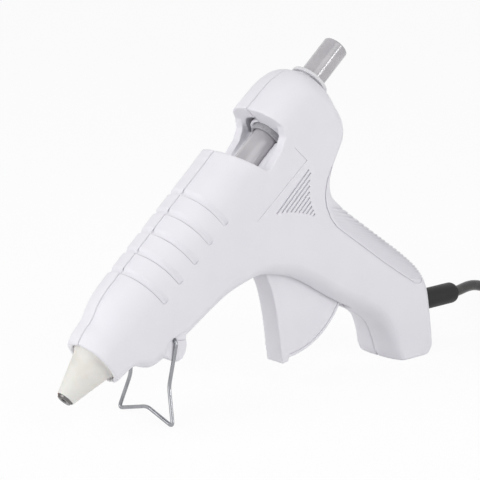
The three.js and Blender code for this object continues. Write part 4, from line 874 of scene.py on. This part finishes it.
# Glue stick: a clear grey hot melt rod, 11 mm thick, with a glossy skin and slightly rounded cut ends.
carriage_travel = 12.391
stick_start = barrel_length * 0.2118 + carriage_travel + 2 * clear
stick = smoothed(turned('hot_melt_stick', rounded([(stick_start, 0), (stick_start, stick_radius),
                                                   (stick_end, stick_radius), (stick_end, 0)], 0.6, 6), 72), 60)
hot_melt = Finish('hot_melt', shade(178, 175, 179), Roughness=0.14, IOR=1.5, Coat_Weight=0.5,
                  Coat_Roughness=0.06)
haze = hot_melt.noise(90, 3, (0.4, 1, 1))
hot_melt.use(Base_Color=hot_melt.tint(hot_melt.ramp(haze, 0.4, 0.7), shade(167, 165, 169)),
             Roughness=0.1 + haze * 0.1,
             Normal=hot_melt.bump(hot_melt.noise(260, 2, (0.3, 1, 1)), 0.00006, 0.4))
paint(hot_melt, stick, slot='glue')
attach(stick, 'stick')
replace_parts(stick, 'glue_stick')

# Guides of the stick: a dark grey collar at the back of the feed opening, and a lighter flanged ring where the
# stick comes out behind. Both are nylon, pressed between the half shells.
guide_in, guide_out, collar_end = stick_radius + clear, guide_hole - clear, window_fill[1] - 0.8
collar = smoothed(turned('front_guide_collar', rounded(
    [(collar_start, guide_in), (collar_start, guide_out), (collar_end, guide_out), (collar_end, guide_in)],
    0.4), 72), 50)
paint(nylon, collar, slot='nylon')
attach(collar, 'gun')
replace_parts(collar, 'feed_collar')
pale_nylon = Finish('pale_nylon', shade(218, 218, 221), Roughness=0.45)
fleck = pale_nylon.noise(1000, 4)
pale_nylon.use(Base_Color=pale_nylon.tint(pale_nylon.ramp(fleck, 0.45, 0.7), shade(208, 208, 212)),
               Roughness=0.38 + fleck * 0.16, Normal=pale_nylon.bump(pale_nylon.noise(2400), 0.00003, 0.5))
ring_start = barrel_length * 0.9529
rear_ring = smoothed(turned('rear_guide_ring', rounded(
    [(ring_start, guide_in), (ring_start, guide_out), (flange_start, guide_out),
     (flange_start, flange_radius), (flange_end, flange_radius), (flange_end, guide_in)], 0.4), 72), 50)
paint(pale_nylon, rear_ring, slot='nylon')
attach(rear_ring, 'gun')
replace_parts(rear_ring, 'rear_guide')

# Trigger: one white moulding, a flush quarter disc with a fine line along its curved back rim, that turns on
# a steel pin. An arm on its hub reaches up to the carriage.
trigger_radius = shoulder * 0.37
trigger_half = 4.9
rim_steps, rim_first, rim_last = 48, -86.5, -14
pad_front = [(-0.324, 0.135), (-0.289, 0), (-0.211, -0.176), (-0.151, -0.392), (-0.103, -0.635),
             (-0.070, -0.878), (-0.049, -0.999), (-0.046, -1.055)]
pad_curve = [(place.x, place.z) for place in along_curve([(x, 0, z) for x, z in pad_front], 4)]


def about_pivot(points):
    return [(pivot_x + x * trigger_radius, pivot_z + z * trigger_radius) for x, z in points]


def rim_arc(radius):
    places = []
    for i in range(rim_steps + 1):
        angle = math.radians(rim_first + (rim_last - rim_first) * i / rim_steps)
        places.append((pivot_x + radius * math.cos(angle), pivot_z + radius * math.sin(angle)))
    return places


front = about_pivot(pad_curve)
hub_along = pivot_x * math.cos(rest_tilt) + (pivot_z - tip_height) * math.sin(rest_tilt)
hub_up = (pivot_z - tip_height) * math.cos(rest_tilt) - pivot_x * math.sin(rest_tilt)
drive_up = -13.2
drive_along = hub_along + (drive_up - hub_up) * math.tan(math.radians(10))
arm = [(hub_along - 3.5, hub_up), (drive_along - 2.4, drive_up), (drive_along - 1.2, drive_up + 2.4),
       (drive_along + 1.2, drive_up + 2.4), (drive_along + 2.4, drive_up), (hub_along + 3.5, hub_up)]
drive_x, drive_z = on_barrel(drive_along, drive_up)
trigger = slab(front + about_pivot([(0.045, -1.045)]) + rim_arc(trigger_radius) + about_pivot([(0.1, 0.12)]),
               -trigger_half, trigger_half)
trigger.name = 'trigger_moulding'
arm_half = 3.4
carve(trigger, 'UNION', cross_rod(pivot_x, pivot_z, hub_radius, -trigger_half, trigger_half),
      slab(arm, -arm_half, arm_half, barrel))
carve(trigger, 'DIFFERENCE', cross_rod(pivot_x, pivot_z, pin_radius, 1 - trigger_half, trigger_half - 1),
      cross_rod(drive_x, drive_z, pin_radius, -half_width, half_width))
soften(settle(trigger), 0.4, 4)
arc_line = rim_arc(trigger_radius - 1.3) + rim_arc(trigger_radius - 1.8)[::-1]
carve(trigger, 'DIFFERENCE', slab(arc_line, -half_width, 0.4 - trigger_half),
      slab(arc_line, trigger_half - 0.4, half_width))
smoothed(settle(trigger), 50)
paint(satin, trigger, slot='shell')
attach(trigger, 'trigger')
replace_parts(trigger, 'trigger')
pin = carve(cross_rod(pivot_x, pivot_z, pin_radius, -pin_end, pin_end), 'INTERSECT', skin_floor)
pin.name = 'trigger_pivot_pin'
paint(spring_steel, smoothed(settle(pin)), slot='steel')
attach(pin, 'gun')
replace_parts(pin, 'trigger_pin')
for tool in (body, cavity, groove_floor, strip_floor, pad_floor, rib_floor, skin_floor):
    bpy.data.objects.remove(tool)

# Return spring: an extension spring of 0.7 mm wire from the carriage's bar back to a peg in the shells.
spring_up = -14.6
spring_from = drive_along + 5.6 + 2 * clear
spring_to = barrel_length * 0.8735 - peg_radius - 2 * clear
turns, coil_steps, coil_radius, spring_wire, hook = 14, 16, 2.3, 0.35, 2
helix = []
for i in range(turns * coil_steps + 1):
    share = i / (turns * coil_steps)
    fade = min(1, min(share, 1 - share) * turns * 2)
    along = spring_from + hook * min(1, share * turns * 2) + (spring_to - spring_from - 2 * hook) * share
    along += hook * max(0, 1 - (1 - share) * turns * 2)
    angle = share * turns * math.tau
    helix.append(barrel @ Vector((along, coil_radius * fade * math.cos(angle),
                                  coil_radius * fade * math.sin(angle) + spring_up)))
coiled = wire('extension_spring', helix, spring_wire, 2, 2)
spring = bpy.data.objects.new('pull_back_spring', bpy.data.meshes.new_from_object(coiled))
bpy.context.scene.collection.objects.link(spring)
bpy.data.objects.remove(coiled)
smoothed(spring, 60)
paint(spring_steel, spring, slot='steel')
barrel @ Vector((spring_from + 2, 0, spring_up))
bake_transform(spring)
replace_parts(spring, 'return_spring')

# Wire stand: one bright 1.6 mm steel wire, bent, with its two ends turned in and sprung into the holes of the
# lug. It swings under the barrel for storage.
ear_y, ear_in, kink_y, kink_x = 14.1, 7.6, 12, barrel_length * 0.2535
foot_x, foot_y = barrel_length * 0.24, half_width * 1.14
wire_radius, bend_start, bend_parts = 0.8, 2.4, 8
foot_z = wire_radius - 0.45
corners = []
for side in (-1, 1):
    half = [(stand_pivot[0], side * ear_in, stand_pivot[1]), (stand_pivot[0], side * ear_y, stand_pivot[1]),
            (kink_x, side * kink_y, stand_pivot[1] * 0.45), (foot_x, side * (foot_y - wire_radius), foot_z)]
    corners += half + [(foot_x + wire_radius, 0, wire_radius + 4)] if side < 0 else half[::-1]
corners = [Vector(corner) for corner in corners]
bent = [corners[0]]
for before, corner, after in zip(corners, corners[1:], corners[2:]):
    back, forth = (before - corner).normalized() * bend_start, (after - corner).normalized() * bend_start
    bent += [corner + back * (1 - k / bend_parts) ** 2 + forth * (k / bend_parts) ** 2
             for k in range(bend_parts + 1)]
bent.append(corners[-1])
stand = wire('bent_wire_stand', [standing @ place for place in bent], wire_radius, 5, 1)
for knot in stand.data.splines[0].bezier_points:
    knot.handle_left_type = knot.handle_right_type = 'VECTOR'
bright = Finish('bright_wire', shade(158, 159, 163), Metallic=1, Roughness=0.14)
pulled = bright.noise(600, 3, (1, 1, 0.2))
bright.use(Base_Color=bright.tint(bright.ramp(pulled, 0.5, 0.8), shade(132, 133, 137)),
           Roughness=0.1 + pulled * 0.14)
stand.data.materials.append(bright.material)
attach(stand, 'stand')
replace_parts(stand, 'wire_stand')

# Studio: a pale table and a white surround, which the camera and glossy surfaces see as nearly plain white,
# so the table keeps a soft shadow. Soft lamps stand at the left, high and low, and in front, and one narrow
# lamp at the right lights the side.
class Surround(Finish):
    """The world's light, with the same way of adding nodes."""

    def __init__(self, world):
        self.material, self.nodes = world, world.node_tree.nodes
        self.shader = self.nodes['Background']


def seen_directly(finish):
    """1 for rays that come straight from the camera or through a mirror or glass, and 0 for the others."""
    rays = [finish.node('ShaderNodeLightPath', out=kind)
            for kind in ('Is Camera Ray', 'Is Glossy Ray', 'Is Transmission Ray')]
    return rays[0].sum('MAXIMUM', rays[0].sum('MAXIMUM', rays[0], rays[1]), rays[2])


floor_mesh = bmesh.new()
bmesh.ops.create_grid(floor_mesh, x_segments=1, y_segments=1, size=3000)
floor = new_piece('floor', floor_mesh, Matrix.Scale(millimetre, 4))
table = Finish('pale_table', (0.95, 0.95, 0.95, 1), Roughness=0.9)
plain = table.node('ShaderNodeEmission', None, {'Color': (1, 1, 1, 1), 'Strength': 1})
shaded = Signal(table, table.shader.outputs[0])
plain_share = 0.92
covered = table.node('ShaderNodeMixShader', None, {0: seen_directly(table) * plain_share, 1: shaded, 2: plain})
table.fill(table.nodes['Material Output'], {'Surface': covered})
floor.data.materials.append(table.material)
world = bpy.data.worlds.new('studio')
bpy.context.scene.world = world
world.use_nodes = True
ambient = 0.425
surround = Surround(world)
surround.use(Color=(1, 1, 1, 1), Strength=surround.ramp(seen_directly(surround), 0, 1, ambient, 1))


def lamp(name, place, aim, width, height, power, shine=1):
    light = bpy.data.lights.new(name, 'AREA')
    light.shape = 'RECTANGLE'
    light.size, light.size_y = width, height
    light.energy = power
    light.specular_factor = shine
    holder = bpy.data.objects.new(name, light)
    holder.location = place
    holder.rotation_euler = (Vector(aim) - Vector(place)).to_track_quat('-Z', 'Y').to_euler()
    bpy.context.scene.collection.objects.link(holder)


lamp('left_softbox', (-0.8, 0.25, 0.62), (-0.06, 0, 0.06), 0.8, 0.8, 4.8, 0.4)
lamp('low_softbox', (-1.1, 0.05, 0.12), (0, 0, 0.06), 0.7, 0.3, 1.1, 0.4)
lamp('front_softbox', (-0.15, -0.85, 0.85), (0, 0, 0.06), 0.8, 0.8, 3.1, 0.2)
lamp('strip_light', (0.45, -1.15, 0.28), (0.03, 0, 0.1), 0.14, 0.9, 3.8, 0.7)
bpy.context.scene.view_settings.view_transform = 'Standard'
